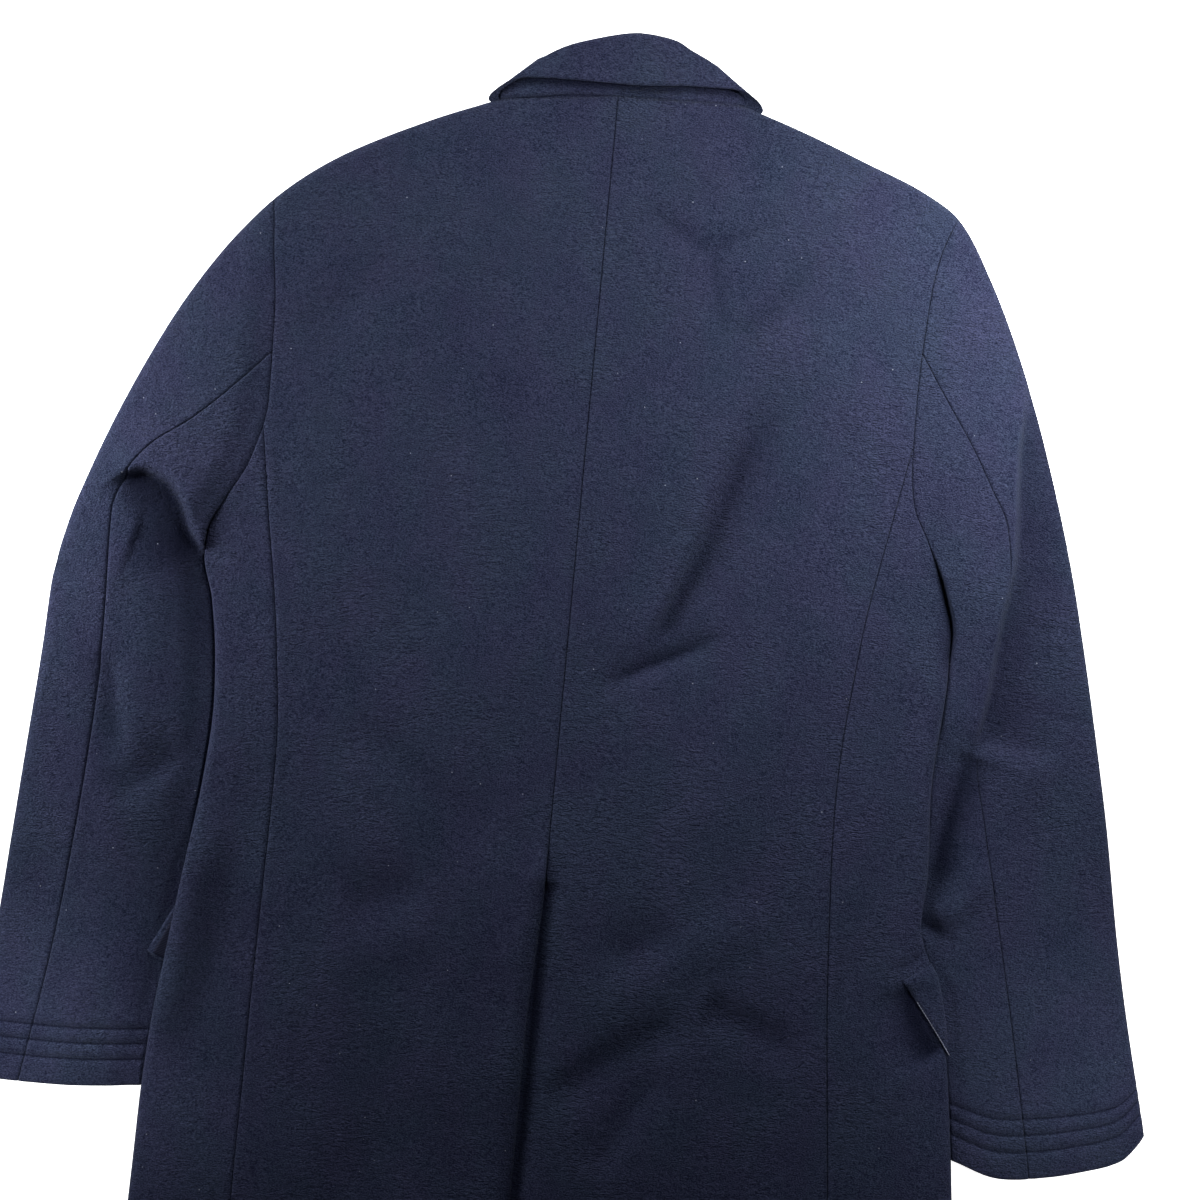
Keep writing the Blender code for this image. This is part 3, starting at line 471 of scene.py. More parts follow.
@dataclass(frozen=True)
class Half:
    """One half of the coat: how high each of its sheets of cloth lies."""
    cut: HalfCut

    def hump(self, reach: Array, depth: Array) -> Array:
        """Share, 0 to 1, of the left edge's rise over its flap: a step across times one along."""
        if self.cut.out > 0:
            return np.zeros(np.broadcast(reach, depth).shape)
        full, fade = 35.0, 70.0
        band, climb = 36.0, 28.0
        near = ease(1.0 - (np.abs(depth - FLAP_DEPTH) - full) / fade)
        return near * ease((reach - self.cut.parting.at(depth) + band) / climb)

    def flap_zone(self, reach: Array, depth: Array) -> Array:
        """Share, 0 to 1, of the room left for a pocket flap: a soft step along times one across."""
        middle, half_height = FLAP_DEPTH - 5.0, 50.0
        front_end, fade = 70.0, 40.0
        return (ease(1.0 - (np.abs(depth - middle) - half_height) / RAMP)
                * ease((reach - front_end) / fade))

    def lift(self, reach: Array, depth: Array) -> Array:
        """Height of the under sheet's lower face: the highest step over a piece, plus the hump."""
        lapel = (ease(1.0 - (reach - self.cut.lapel.at(depth) - MARGIN) / RAMP)
                 * ease(1.0 - (depth - BREAK_DEPTH) / RAMP))
        steps = np.maximum(LAPEL_STEP * lapel, FLAP_STEP * self.flap_zone(reach, depth))
        if self.cut.out > 0:
            lap_start = BREAK_DEPTH - 70.0
            lap = ease(1.0 - (reach - FRONT_LAP - MARGIN) / RAMP) * ease((depth - lap_start) / RAMP)
            steps = np.maximum(steps, LAPEL_STEP * lap)
        return steps + FLAP_HUMP * self.hump(reach, depth)

    def top_height(self, zone: Zone, reach: Array, depth: Array) -> Array:
        """Height of the top sheet away from its edges: flat height, folds, then sleeve, flap and vent."""
        height = FLAT_HEIGHT + relief(self.cut.out * reach, depth, zone)
        if zone is Zone.SLEEVE:
            within, soft, crown, sag = 80.0, 25.0, 6.4, 3.2
            share = np.clip((self.cut.outline.at(depth) - reach) / within, 0.0, 1.0)
            height = height + ((crown * (1.0 - (1.0 - share)**2) - sag)
                               * ease((reach - self.cut.parting.at(depth)) / soft))
            climb, fade = 50.0, 80.0
            inner = 1.0 - ease((reach - self.cut.parting.at(depth) - ARM_BAND) / climb)
            low = (FLAT_HEIGHT - ARM_EDGE_HEIGHT) * inner
            return height - low * ease((depth - self.cut.underarm) / fade)
        flap_swell = 0.6
        height = height + FLAP_HUMP * self.hump(reach, depth) + flap_swell * self.flap_zone(reach, depth)
        if zone is Zone.VENT:
            start, grow, width, fade = VENT_TOP - 42.0, 40.0, 110.0, 60.0
            raised = ease((depth - start) / grow) * ease((width - reach) / fade)
            height = height + VENT_STEP * raised
        return height

    def painted_shade(self, zone: Zone, reach: Array, depth: Array) -> Array:
        """Share of painted shade: that of the darkest fold there."""
        share = np.zeros(np.broadcast(reach, depth).shape)
        for fold in FOLDS[zone]:
            if fold.dark > 0:
                share = np.maximum(share, fold.shade(self.cut.out * reach, depth))
        return share

    def parting_round(self, depth: Array) -> Array:
        """Rounding of the edges where body and sleeve part, growing below the underarm."""
        grow = 70.0
        return EDGE_MIN + (EDGE_ROUND - EDGE_MIN) * ease((depth - self.cut.underarm) / grow)

    def height(self, zone: Zone, face: Face, reach: Array, depth: Array, inset: float = 0.0) -> Array:
        """Height of one sheet: half of the coat's depth there, times the profile of its edges.

        Args:
            zone: part of the coat.
            face: which of its two sheets.
            reach: distances out from the centre.
            depth: depths below the nape.
            inset: how far the face is moved into the cloth.

        Returns:
            Heights above the surface that the coat lies on.
        """
        cut = self.cut
        top = self.top_height(zone, reach, depth)
        low = np.zeros_like(top) if zone is Zone.SLEEVE else self.lift(reach, depth)
        middle = 0.5 * (top + low)
        below = depth > cut.underarm - 0.01
        from_outline = (cut.outline.at(depth) - reach) / cut.outline.slant(depth)
        from_parting = np.abs(cut.parting.at(depth) - reach) / cut.parting.slant(depth)
        share = ARM_ROUND if zone is Zone.SLEEVE else 1.0
        rounding = quarter(from_parting, share * self.parting_round(depth), inset)
        outer = quarter(from_outline, EDGE_ROUND, inset)
        if zone is Zone.SLEEVE:
            full = outer * np.where(below, rounding, 1.0)
        else:
            full = np.where(below, rounding, outer)
        rise = np.maximum((top - middle - inset) * full, CORE)
        return middle + rise if face is Face.TOP else middle - rise

    def places(self, zone: Zone, face: Face, reach: Array, depth: Array, inset: float,
               dip: Array | float = 0.0) -> Array:
        """Places of a sheet, which dips into its seams: an under sheet does so half as far."""
        height = self.height(zone, face, reach, depth, inset)
        height = height - dip if face is Face.TOP else height + 0.5 * dip
        return np.stack([self.cut.out * reach, depth, height], axis=-1)

    def levels(self, every: int = 1) -> Array:
        """Depths of the rows that the panels of this half share.

        Args:
            every: keeps the main rows and one in this many of the rest.

        Returns:
            The depths, from the nape to the hem.
        """
        cut, cuff = self.cut, self.cut.cuff.last
        near_neck, near_hem, near_cuff = (0.0, 2.6, 14.0, 34.0), (4.0, 1.5, 0.0), (4.0, 1.5, 0.5, 0.0)
        beside_row = (-3.0, -1.2, 0.0, 1.2, 3.0)
        stops = [*near_neck, cut.underarm, VENT_TOP, VENT_TOP + 4.0, SEEN_DEPTH]
        for start in (cut.tip, cut.back_seam.start, cut.side_seam.start):
            stops += [start, start + START_GAP]
        stops += [LENGTH - up for up in near_hem] + [cuff - up for up in near_cuff]
        stops = sorted(stops + [cuff - row + off for row in CUFF_ROWS for off in beside_row])
        rows = [np.array(stops[:1])]
        for start, end in zip(stops, stops[1:]):
            step = every * (FINE_STEP if end <= SEEN_DEPTH else SKIRT_STEP)
            count = max(1, int(np.ceil((end - start) / step)))
            rows.append(start + (end - start) * np.arange(1, count + 1) / count)
        return np.concatenate(rows)

    def rows_between(self, first: float, last: float) -> Array:
        """The shared rows from one depth to another."""
        rows = self.levels()
        return rows[(rows >= first - 0.01) & (rows <= last + 0.01)]


@dataclass(frozen=True)
class Wrap:
    """Panel that goes from a seam on the top face, round a folded edge, to a seam below."""
    half: Half
    zone: Zone
    rows: Array             # depths of its rows
    seams: tuple            # reach of its seam on the top face and on the under face
    edge: Array             # reach of the folded edge
    round_in: Array         # how far in the edge's rounding goes
    drawn: Array            # how much of the inset each row's edge takes
    joined: Array           # rows that end in a seam and not in a fold
    flats: int              # number of even steps across each face
    level: Callable[[Array, Array], Array]      # depths of places, from their reach and rows
    dip: Array              # how far each row dips, as along stitches
    darkening: Array | float = 0.0      # share by which each row is darkened: dark stitched rows, plus painted shade in their dips
    shown: Array | float = 1.0      # share of its seam that shows in each row
    nose: float = 4.0       # last angle of the folded edge, in degrees

    def grids(self) -> tuple[list[Array], Array]:
        """Outer and inner grid, top and under block joined nose to nose, and their darkening: seam lines,
        plus painted shade in folds.
        """
        grids, flat = [], []
        joined = self.joined[:, None]
        for inset in (0.0, WALL):
            blocks = []
            for face, seam in zip(Face, self.seams):
                reach = spread(seam, self.edge, self.round_in, inset * self.drawn, self.flats, self.nose)
                depth = self.level(reach, self.rows)
                dip = 0.0
                if inset == 0.0:
                    from_seam, from_edge = np.abs(reach - seam[:, None]), np.abs(self.edge[:, None] - reach)
                    dip = self.shown * groove(from_seam) + joined * groove(from_edge) + self.dip
                    darkening = np.maximum(self.shown * foot(from_seam), joined * foot(from_edge))
                    darkening = np.maximum(darkening, self.darkening)
                    # painted shade in the top sheet's folds and hollows
                    if face is Face.TOP:
                        darkening = np.maximum(darkening, self.half.painted_shade(self.zone, reach, depth))
                    flat.append(darkening if face is Face.TOP else darkening[:, ::-1])
                block = self.half.places(self.zone, face, reach, depth, inset, dip)
                blocks.append(block if face is Face.TOP else block[:, ::-1])
            grids.append(np.concatenate(blocks, axis=1))
        return grids, np.concatenate(flat, axis=1)

    def keep(self, columns: int) -> Array:
        """Which cells are cloth: all but those across the nose of a row that ends in a seam."""
        keep = np.ones((len(self.rows) - 1, columns - 1), dtype=bool)
        keep[self.joined[:-1], columns // 2 - 1] = False
        return keep


def hem_dip(rows: Array) -> Array:
    """Dip of the turned hem, as one column of rows."""
    deep, wide = 0.9, 3.0
    return groove(LENGTH - rows, deep, wide)[:, None]


def to_world(places: Array) -> Array:
    """Turns (across, depth, height) in millimetres into the frame's metres."""
    return (places * np.array([1.0, -1.0, 1.0]) + np.array([0.0, ORIGIN_DEPTH, 0.0])) * MM


def make_mesh(name: str, points: Array, faces: Array, smooth: bool = True) -> bpy.types.Object:
    """Puts arrays of points and four-cornered faces into a new object at the origin.

    Args:
        name: name of the piece.
        points: places in metres.
        faces: four point numbers for each face.
        smooth: whether the faces are shaded smooth.

    Returns:
        The object, linked into the scene.
    """
    used, index = np.unique(faces, return_inverse=True)
    corners = index.reshape(-1).astype(np.int32)
    mesh = bpy.data.meshes.new(name)
    mesh.vertices.add(len(used))
    mesh.vertices.foreach_set("co", points[used].astype(np.float32).ravel())
    mesh.loops.add(len(corners))
    mesh.loops.foreach_set("vertex_index", corners)
    mesh.polygons.add(len(faces))
    mesh.polygons.foreach_set("loop_start", np.arange(0, len(corners), 4, dtype=np.int32))
    mesh.polygons.foreach_set("use_smooth", np.full(len(faces), smooth))
    mesh.update(calc_edges=True)
    mesh.validate()
    piece = bpy.data.objects.new(name, mesh)
    bpy.context.scene.collection.objects.link(piece)
    return piece


def cell_corners(rows: int, columns: int) -> Array:
    """Point numbers of the four corners of each cell of a grid."""
    index = np.arange(rows * columns).reshape(rows, columns)
    return np.stack([index[:-1, :-1], index[:-1, 1:], index[1:, 1:], index[1:, :-1]], axis=-1)


def make_wall(name: str, outer: Array, inner: Array, keep: Array | None = None,
              shade_and_seam_dark: Array | None = None) -> bpy.types.Object:
    """Closed cloth wall: two grids of places and a rim along every open edge of their cells.

    Args:
        name: name of the piece.
        outer: grid of places on the face that shows.
        inner: the same grid on the other face.
        keep: which cells are cloth, or all of them.
        shade_and_seam_dark: share, 0 to 1, by which the outer face is darkened: painted shade in folds and
            hollows, and dark seam lines.

    Returns:
        The piece, with its faces pointing outwards.
    """
    rows, columns = outer.shape[:2]
    total = rows * columns
    corner = cell_corners(rows, columns)
    cells = corner.reshape(-1, 4) if keep is None else corner[keep]
    points = to_world(np.concatenate([outer.reshape(-1, 3), inner.reshape(-1, 3)]))
    edges = np.concatenate([cells[:, [k, (k + 1) % 4]] for k in range(4)])
    there, back = edges[:, 0] * total + edges[:, 1], edges[:, 1] * total + edges[:, 0]
    rim = edges[~np.isin(there, back)]
    sides = np.stack([rim[:, 1], rim[:, 0], total + rim[:, 0], total + rim[:, 1]], axis=1)
    faces = np.concatenate([cells, total + cells[:, ::-1], sides])
    a, b, c, d = (points[faces[:, k]] for k in range(4))
    volume = np.einsum("ij,ij->", a, np.cross(b, c)) + np.einsum("ij,ij->", a, np.cross(c, d))
    piece = make_mesh(name, points, faces if volume > 0 else faces[:, ::-1])
    flat = np.zeros(outer.shape[:2]) if shade_and_seam_dark is None else shade_and_seam_dark
    value = np.concatenate([flat.reshape(-1), np.zeros(total)])[np.unique(faces)]
    # the attribute gives the material its painted shade and dark seam lines
    piece.data.attributes.new(SHADE_AND_SEAM_DARK, "FLOAT", "POINT").data.foreach_set("value", value.astype(np.float32))
    return piece


class Nodes:
    """A material's node tree, with short ways to add nodes to it."""

    def __init__(self, name: str) -> None:
        """Starts a new material with its shader."""
        self.material = bpy.data.materials.new(name)
        self.material.use_nodes = True
        self.tree = self.material.node_tree
        self.shader = self.tree.nodes["Principled BSDF"]

    def add(self, kind: str, settings: dict | None = None, **inputs: object) -> bpy.types.Node:
        """Adds a node, sets its properties and fills or links its inputs by name."""
        node = self.tree.nodes.new("ShaderNode" + kind)
        for key, value in (settings or {}).items():
            setattr(node, key, value)
        for key, value in inputs.items():
            self.put(node, key.replace("_", " "), value)
        return node

    def put(self, node: bpy.types.Node, socket: str, value: object) -> None:
        """Gives a socket a value, or links it if the value is a socket."""
        target = node.inputs[int(socket)] if socket.isdigit() else node.inputs[socket]
        if isinstance(value, bpy.types.NodeSocket):
            self.tree.links.new(value, target)
        else:
            target.default_value = value

    def math(self, way: str, first: object, second: object = 0.0) -> bpy.types.NodeSocket:
        """One step of arithmetic."""
        node = self.add("Math", {"operation": way})
        self.put(node, "0", first)
        self.put(node, "1", second)
        return node.outputs[0]

    def mix(self, share: object, first: object, second: object, way: str = "MIX") -> bpy.types.NodeSocket:
        """Goes by a share from one colour to another, or to the two blended in another way."""
        node = self.add("Mix", {"data_type": "RGBA", "blend_type": way})
        self.put(node, "0", share)
        self.put(node, "6", first)
        self.put(node, "7", second)
        return node.outputs[2]

    def band(self, value: object, low: float, high: float) -> bpy.types.NodeSocket:
        """Share, 0 to 1, of a value between two limits."""
        node = self.add("MapRange", {"clamp": True}, Value=value)
        self.put(node, "From Min", low)
        self.put(node, "From Max", high)
        return node.outputs[0]

    def noise(self, place: object, size: float, detail: float = 3.0,
              rough: float = 0.5) -> bpy.types.NodeSocket:
        """Cloudy pattern whose clouds are about this many millimetres across."""
        node = self.add("TexNoise", None, Vector=place, Scale=1.0 / (size * MM), Detail=detail,
                        Roughness=rough)
        return node.outputs["Fac"]

    def stretched(self, place: object, scale: Sequence[float]) -> bpy.types.NodeSocket:
        """Places scaled along the axes, so that a pattern is drawn out."""
        return self.add("Mapping", None, Vector=place, Scale=tuple(scale)).outputs[0]

    def weigh(self, first: tuple, *others: tuple) -> bpy.types.NodeSocket:
        """Sum of values, each times its weight, from pairs of the two."""
        total = self.math("MULTIPLY", *first)
        for value, weight in others:
            total = self.math("ADD", total, self.math("MULTIPLY", value, weight))
        return total

    def surface(self, sockets: dict[str, object]) -> bpy.types.Material:
        """Fills or links the shader's sockets by name, and gives the material."""
        for socket, value in sockets.items():
            self.put(self.shader, socket, value)
        return self.material


def color(rgb: Sequence[float]) -> tuple[float, float, float, float]:
    """Opaque colour from three linear shares."""
    return (rgb[0], rgb[1], rgb[2], 1.0)


@dataclass(frozen=True)
class Melton:
    """Brushed navy wool: clouded colour, felted nap and scattered lint."""
    name: str = "melton"
    deep: tuple = (0.0076, 0.0096, 0.0236)
    pale: tuple = (0.0358, 0.0435, 0.0806)
    # colour of the painted shade in folds, hollows, seams and under the collar
    painted_shade: tuple = (0.0010, 0.0016, 0.0062)
    plum: tuple = (1.05, 0.97, 1.03)    # tint of the redder clouds
    slate: tuple = (0.96, 1.03, 1.00)   # tint of the greyer ones
    lint: tuple = (0.24, 0.26, 0.32)
    cloud: float = 60.0         # sizes of the patterns, millimetres
    clump: float = 2.6
    nap: float = 0.75
    crackle: float = 3.2
    lint_cell: float = 10.0
    bump: float = 2.8           # height of the nap, millimetres
    brushed: tuple = (0.6, 1.0, 1.0)    # scales that draw the nap out across the coat
    creped: tuple = (0.35, 1.0, 1.0)    # the same for its crackle
    roughness: float = 0.94
    specular: float = 0.02
    sheen: float = 0.05
    sheen_tint: tuple = (0.65, 0.75, 1.0)
    darkest: float = 0.88       # share of the painted shade colour where the attribute is full

    def felt(self, n: Nodes, place: object) -> tuple[bpy.types.NodeSocket, bpy.types.NodeSocket]:
        """Height of the nap and its colour: weighted clouds, clumps and hairs, with a fine crackle.

        Args:
            n: the material's nodes.
            place: socket of the places on the coat.

        Returns:
            Sockets of the height and of the colour.
        """
        brushed = n.stretched(place, self.brushed)
        clump, nap = n.noise(brushed, self.clump, 3.0, 0.55), n.noise(brushed, self.nap, 2.0, 0.6)
        cloud = n.noise(place, self.cloud, 3.0, 0.55)
        wave = n.noise(n.stretched(place, self.creped), self.crackle, 2.0, 0.5)
        ridge = n.band(n.math("ABSOLUTE", n.math("SUBTRACT", wave, 0.5)), 0.0, 0.07)
        rough = n.math("MULTIPLY", ridge, n.band(cloud, 0.42, 0.6))
        height = n.weigh((clump, 0.4), (nap, 0.6), (rough, 0.3))
        tone = n.weigh((nap, 0.7), (clump, 0.15), (cloud, 0.15))
        wool = n.mix(n.band(tone, 0.38, 0.62), color(self.deep), color(self.pale))
        hue = n.band(n.noise(n.stretched(place, (1.0, 0.7, 1.0)), 0.7 * self.cloud, 4.0, 0.6), 0.38, 0.62)
        return height, n.mix(1.0, wool, n.mix(hue, color(self.plum), color(self.slate)), "MULTIPLY")

    def lint_share(self, n: Nodes, place: object) -> bpy.types.NodeSocket:
        """Share of lint: a speck in about a quarter of the cells that cover the coat."""
        cell = n.add("TexVoronoi", {"feature": "F1"}, Vector=n.stretched(place, (1.0, 1.0, 0.2)),
                     Scale=1.0 / (self.lint_cell * MM))
        pick = n.band(n.add("SeparateColor", None, Color=cell.outputs["Color"]).outputs[0], 0.72, 0.78)
        speck = n.math("SUBTRACT", 1.0, n.band(cell.outputs["Distance"], 0.030, 0.055))
        return n.math("MULTIPLY", n.math("MULTIPLY", pick, speck), 0.8)

    def material(self) -> bpy.types.Material:
        """Wool whose nap lies across the coat, worked out from places on it."""
        n = Nodes(self.name)
        place = n.add("TexCoord").outputs["Object"]
        height, wool = self.felt(n, place)
        # painted shade and dark seam lines: the attribute blends the wool towards the painted shade colour
        shade_and_seam_dark = n.add("Attribute", {"attribute_name": SHADE_AND_SEAM_DARK}).outputs["Fac"]
        wool = n.mix(n.math("MULTIPLY", shade_and_seam_dark, self.darkest), wool, color(self.painted_shade))
        bump = n.add("Bump", None, Height=height, Distance=self.bump * MM, Strength=1.0)
        return n.surface({
            "Base Color": n.mix(self.lint_share(n, place), wool, color(self.lint)),
            "Roughness": self.roughness, "Specular IOR Level": self.specular, "Sheen Weight": self.sheen,
            "Sheen Roughness": 0.4, "Sheen Tint": color(self.sheen_tint), "Normal": bump.outputs[0]})


@dataclass(frozen=True)
class Satin:
    """Twill satin of the flaps' lining: fine slanting ribs with a soft gloss."""
    name: str = "satin"
    deep: tuple = (0.0030, 0.0036, 0.0085)
    pale: tuple = (0.0100, 0.0120, 0.0260)
    rib: float = 1.5            # millimetres from rib to rib
    slant: float = 60.0         # degrees
    bump: float = 0.2           # height of a rib, millimetres
    roughness: float = 0.6
    specular: float = 0.04

    def material(self) -> bpy.types.Material:
        """Slanting ribs across the lining, from bands of a wave."""
        n = Nodes(self.name)
        place = n.add("TexCoord").outputs["Object"]
        turned = n.add("Mapping", None, Vector=place, Rotation=(0.0, 0.0, np.radians(self.slant)))
        rib = n.add("TexWave", {"wave_type": "BANDS", "bands_direction": "X"}, Vector=turned.outputs[0],
                    Scale=0.314 / (self.rib * MM), Distortion=0.4, Detail=1.0).outputs["Fac"]
        bump = n.add("Bump", None, Height=rib, Distance=self.bump * MM, Strength=0.6)
        return n.surface({"Base Color": n.mix(rib, color(self.deep), color(self.pale)),
                          "Roughness": self.roughness, "Specular IOR Level": self.specular,
                          "Normal": bump.outputs[0]})


@dataclass(frozen=True)
class Thread:
    """Pale grey sewing thread, a little glossier than the wool."""
    name: str = "thread"
    tint: tuple = (0.20, 0.22, 0.29)
    shade: float = 0.6          # darkest tone, as a share of the tint
    twist: float = 0.6          # millimetres
    roughness: float = 0.6

    def material(self) -> bpy.types.Material:
        """Thread with small clouds of light and dark, as from its twist."""
        n = Nodes(self.name)
        twist = n.noise(n.add("TexCoord").outputs["Object"], self.twist, 2.0)
        dark = color([self.shade * part for part in self.tint])
        return n.surface({"Base Color": n.mix(twist, dark, color(self.tint)), "Roughness": self.roughness})


@dataclass(frozen=True)
class FlatCut:
    """Size of a panel as it is cut, measured over its own rows and columns."""
    width: float
    length: float
    area: float

    @classmethod
    def of(cls, grids: Sequence[Array], keep: Array | None = None) -> "FlatCut":
        """Measures the middle of the cloth: longest row, longest column and sum of its cells.

        Args:
            grids: outer and inner grid of places, in millimetres.
            keep: which cells are cloth, or all of them.

        Returns:
            The flat sizes, in metres and square metres.
        """
        middle = 0.5 * (grids[0] + grids[1]) * MM
        used = np.ones(np.array(middle.shape[:2]) - 1, dtype=bool) if keep is None else keep
        across = np.linalg.norm(np.diff(middle, axis=1), axis=-1)[:-1]
        down = np.linalg.norm(np.diff(middle, axis=0), axis=-1)[:, :-1]
        first, second = middle[1:, 1:] - middle[:-1, :-1], middle[1:, :-1] - middle[:-1, 1:]
        cells = 0.5 * np.linalg.norm(np.cross(first, second), axis=-1)
        width, length = float((across * used).sum(1).max()), float((down * used).sum(0).max())
        return cls(width, length, min(float((cells * used).sum()), width * length))


class Wardrobe:
    """The finishes of the coat, made once, and how a finished piece is dressed and logged."""

    def __init__(self) -> None:
        """Makes the materials."""
        self.made = {finish.name: finish.material() for finish in (Melton(), Satin(), Thread())}

    def dress(self, piece: bpy.types.Object, finish: str, slot: str, node: str = "") -> bpy.types.Object:
        """Gives a piece its finish and lets it ride on the coat.

        Args:
            piece: the new piece.
            finish: name of its material.
            slot: a material slot; not used.
            node: solid that the piece stands for, if it does.

        Returns:
            The same piece.
        """
        piece.data.materials.append(self.made[finish])
        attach(piece, BODY)
        if node:
            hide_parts(node)
        LOG.info("%s: %d faces in %s", piece.name, len(piece.data.polygons), finish)
        return piece

    def cloth(self, node: str, grids: Sequence[Array], held: Held, rests_on: Sequence[str],
              keep: Array | None = None, finish: str = "melton",
              shade_and_seam_dark: Array | None = None) -> bpy.types.Object:
        """Makes a panel of cloth that stands for a solid, and declares its flat cut.

        Args:
            node: the solid's name.
            grids: outer and inner grid of places.
            held: how the cloth is held; not used.
            rests_on: what it lies on; not used.
            keep: which cells are cloth, or all of them.
            finish: name of its material.
            shade_and_seam_dark: share by which it is darkened at each place: painted shade and dark seam
                lines.

        Returns:
            The panel.
        """
        piece = self.dress(make_wall(node + "_cloth", *grids, keep, shade_and_seam_dark), finish, finish, node)
        cut = FlatCut.of(grids, keep)
        LOG.info("%s: cut %.0f x %.0f mm, %.4f square metres", piece.name, cut.width / MM, cut.length / MM,
                 cut.area)
        return piece


@dataclass
class Body:
    """Back, front and side body of one half of the coat."""
    half: Half
    wardrobe: Wardrobe
    back_flats: int = 70        # steps across each panel
    front_flats: int = 30
    side_flats: int = 15
    lap_steps: int = 9          # steps across the vent's underlap

    def bound(self, depth: Array) -> Array:
        """Outer bound of back and front: shoulder edge, armhole, then side seam."""
        cut = self.half.cut
        armhole, seam = cut.parting.at(depth) - 0.5 * SEAM, cut.side_seam.at(depth) - 0.5 * SEAM
        return np.where(depth <= cut.tip, cut.outline.at(depth),
                        np.where(depth <= cut.side_seam.start, armhole, seam))

    def neck_drop(self, rows: Array) -> Array:
        """How much lower a row lies at the shoulder than at the centre: the neck's depth, eased away."""
        level_above_tip = 6.0
        return self.half.cut.neck * (1.0 - ease(rows / (self.half.cut.tip - level_above_tip)))

    def panel(self, zone: Zone, face: Face, start: Callable[[Array], Array], rows: Array, neck: Array,
              flats: int, lap_share: Array = NO_LAP) -> tuple[list[Array], Array]:
        """Outer and inner grid of a back or front, and where it is darkened by seams and painted shade.

        Args:
            zone: part of the coat.
            face: top sheet for a back, under sheet for a front.
            start: reach of its inner edge at given depths.
            rows: depths of the rows at the centre.
            neck: how much lower each row lies at its outer end.
            flats: number of steps across.
            lap_share: columns of an underlap, as shares of the way from its edge to the seam.

        Returns:
            Two grids of places, and the share of darkening at each: seam lines and painted shade.
        """
        cut = self.half.cut
        level = rows + neck
        bound, inner_edge = self.bound(level), start(level)
        slope = np.where(level <= cut.tip, cut.outline.slant(level), 1.0)
        fold_end, fold_fade, seam_start, seam_grow, nose = 10.0, 20.0, 4.0, 10.0, 2.0
        at_edge = 1.0 - ease((level - cut.tip - fold_end) / fold_fade)
        seamed = ease((level - cut.tip - seam_start) / seam_grow)[:, None]
        grids = []
        for inset in (0.0, WALL):
            seam = np.maximum(inner_edge, 0.5 * SEAM) if lap_share.size else inner_edge
            reach = spread(seam, bound, EDGE_ROUND * slope, inset * slope * at_edge, flats, nose)
            lap = inner_edge[:, None] + (seam - inner_edge)[:, None] * lap_share[None, :]
            reach = np.concatenate([lap, reach], axis=1)
            depth = rows[:, None] + neck[:, None] * np.clip(reach / bound[:, None], 0.0, 1.0)
            dip = 0.0
            if inset == 0.0:
                from_start, from_end = reach - inner_edge[:, None], bound[:, None] - reach
                dip = groove(from_start) + seamed * groove(from_end) + hem_dip(rows)
                shade_and_seam_dark = np.maximum(foot(from_start), seamed * foot(from_end))
                if face is Face.TOP:
                    # painted shadow of the collar's leaf along the back's neck edge
                    neck_shade, below_neck = 0.45, 3.5
                    shade = neck_shade * (1.0 - ease((rows - rows[0]) / below_neck))[:, None]
                    shade_and_seam_dark = np.maximum(np.maximum(shade_and_seam_dark, shade), self.half.painted_shade(zone, reach, depth))
            grids.append(self.half.places(zone, face, reach, depth, inset, dip))
        return grids, shade_and_seam_dark

    def add_back(self) -> bpy.types.Object:
        """Half of the back, with the vent's overlap on the left or its underlap on the right."""
        left, name = self.half.cut.out < 0, self.half.cut.name
        lean_over, lap_top = 100.0, VENT_TOP + 2.0

        def start(depth: Array) -> Array:
            """Reach of the centre seam, then of the vent's edge."""
            if left:
                return 0.5 * SEAM + VENT_LEAN * ease((depth - VENT_TOP) / lean_over)
            return np.where(depth > lap_top, -UNDERLAP, 0.5 * SEAM)

        rows = self.half.levels()
        lap_share = NO_LAP if left else np.linspace(0.0, 1.0, self.lap_steps + 1)[:-1]
        grids, shade_and_seam_dark = self.panel(Zone.VENT if left else Zone.BODY, Face.TOP, start, rows,
                                    self.neck_drop(rows), self.back_flats, lap_share)
        keep = np.ones((len(rows) - 1, shade_and_seam_dark.shape[1] - 1), dtype=bool)
        keep[rows[1:] <= lap_top, :lap_share.size] = False
        return self.wardrobe.cloth("back_" + name, grids, Held.LAID, ["front_" + name + "_cloth"], keep,
                                   shade_and_seam_dark=shade_and_seam_dark)

    def add_front(self) -> bpy.types.Object:
        """One front, face down, from its roll line and front edge out to the side."""
        rows = self.half.levels(COARSE)[1:]
        rows = rows + self.neck_drop(rows)
        grids, shade_and_seam_dark = self.panel(Zone.BODY, Face.UNDER, self.half.cut.roll.at, rows,
                                    np.zeros_like(rows), self.front_flats)
        return self.wardrobe.cloth("front_" + self.half.cut.name, grids, Held.LAID, ["floor"],
                                   shade_and_seam_dark=shade_and_seam_dark)

    def add_side(self) -> bpy.types.Object:
        """Side body: from the seam on the back, round the coat's edge, to a like seam in front."""
        half, cut = self.half, self.half.cut
        rows = half.rows_between(cut.side_seam.start + START_GAP, LENGTH)
        seam, edge = cut.side_seam.at(rows) + 0.5 * SEAM, cut.parting.at(rows) - 0.5 * SEAM
        below, slope = rows >= cut.underarm, cut.parting.slant(rows)
        wrap = Wrap(half, Zone.BODY, rows, (seam, seam), edge, half.parting_round(rows) * slope,
                    np.where(below, slope, 0.0), ~below, self.side_flats,
                    lambda reach, rows: np.broadcast_to(rows[:, None], reach.shape), hem_dip(rows))
        grids, shade_and_seam_dark = wrap.grids()
        return self.wardrobe.cloth("side_" + cut.name, grids, Held.FOLDED, ["floor"],
                                   wrap.keep(shade_and_seam_dark.shape[1]), shade_and_seam_dark=shade_and_seam_dark)

    def build(self) -> None:
        """Makes the three panels."""
        self.add_back()
        self.add_side()
        self.add_front()


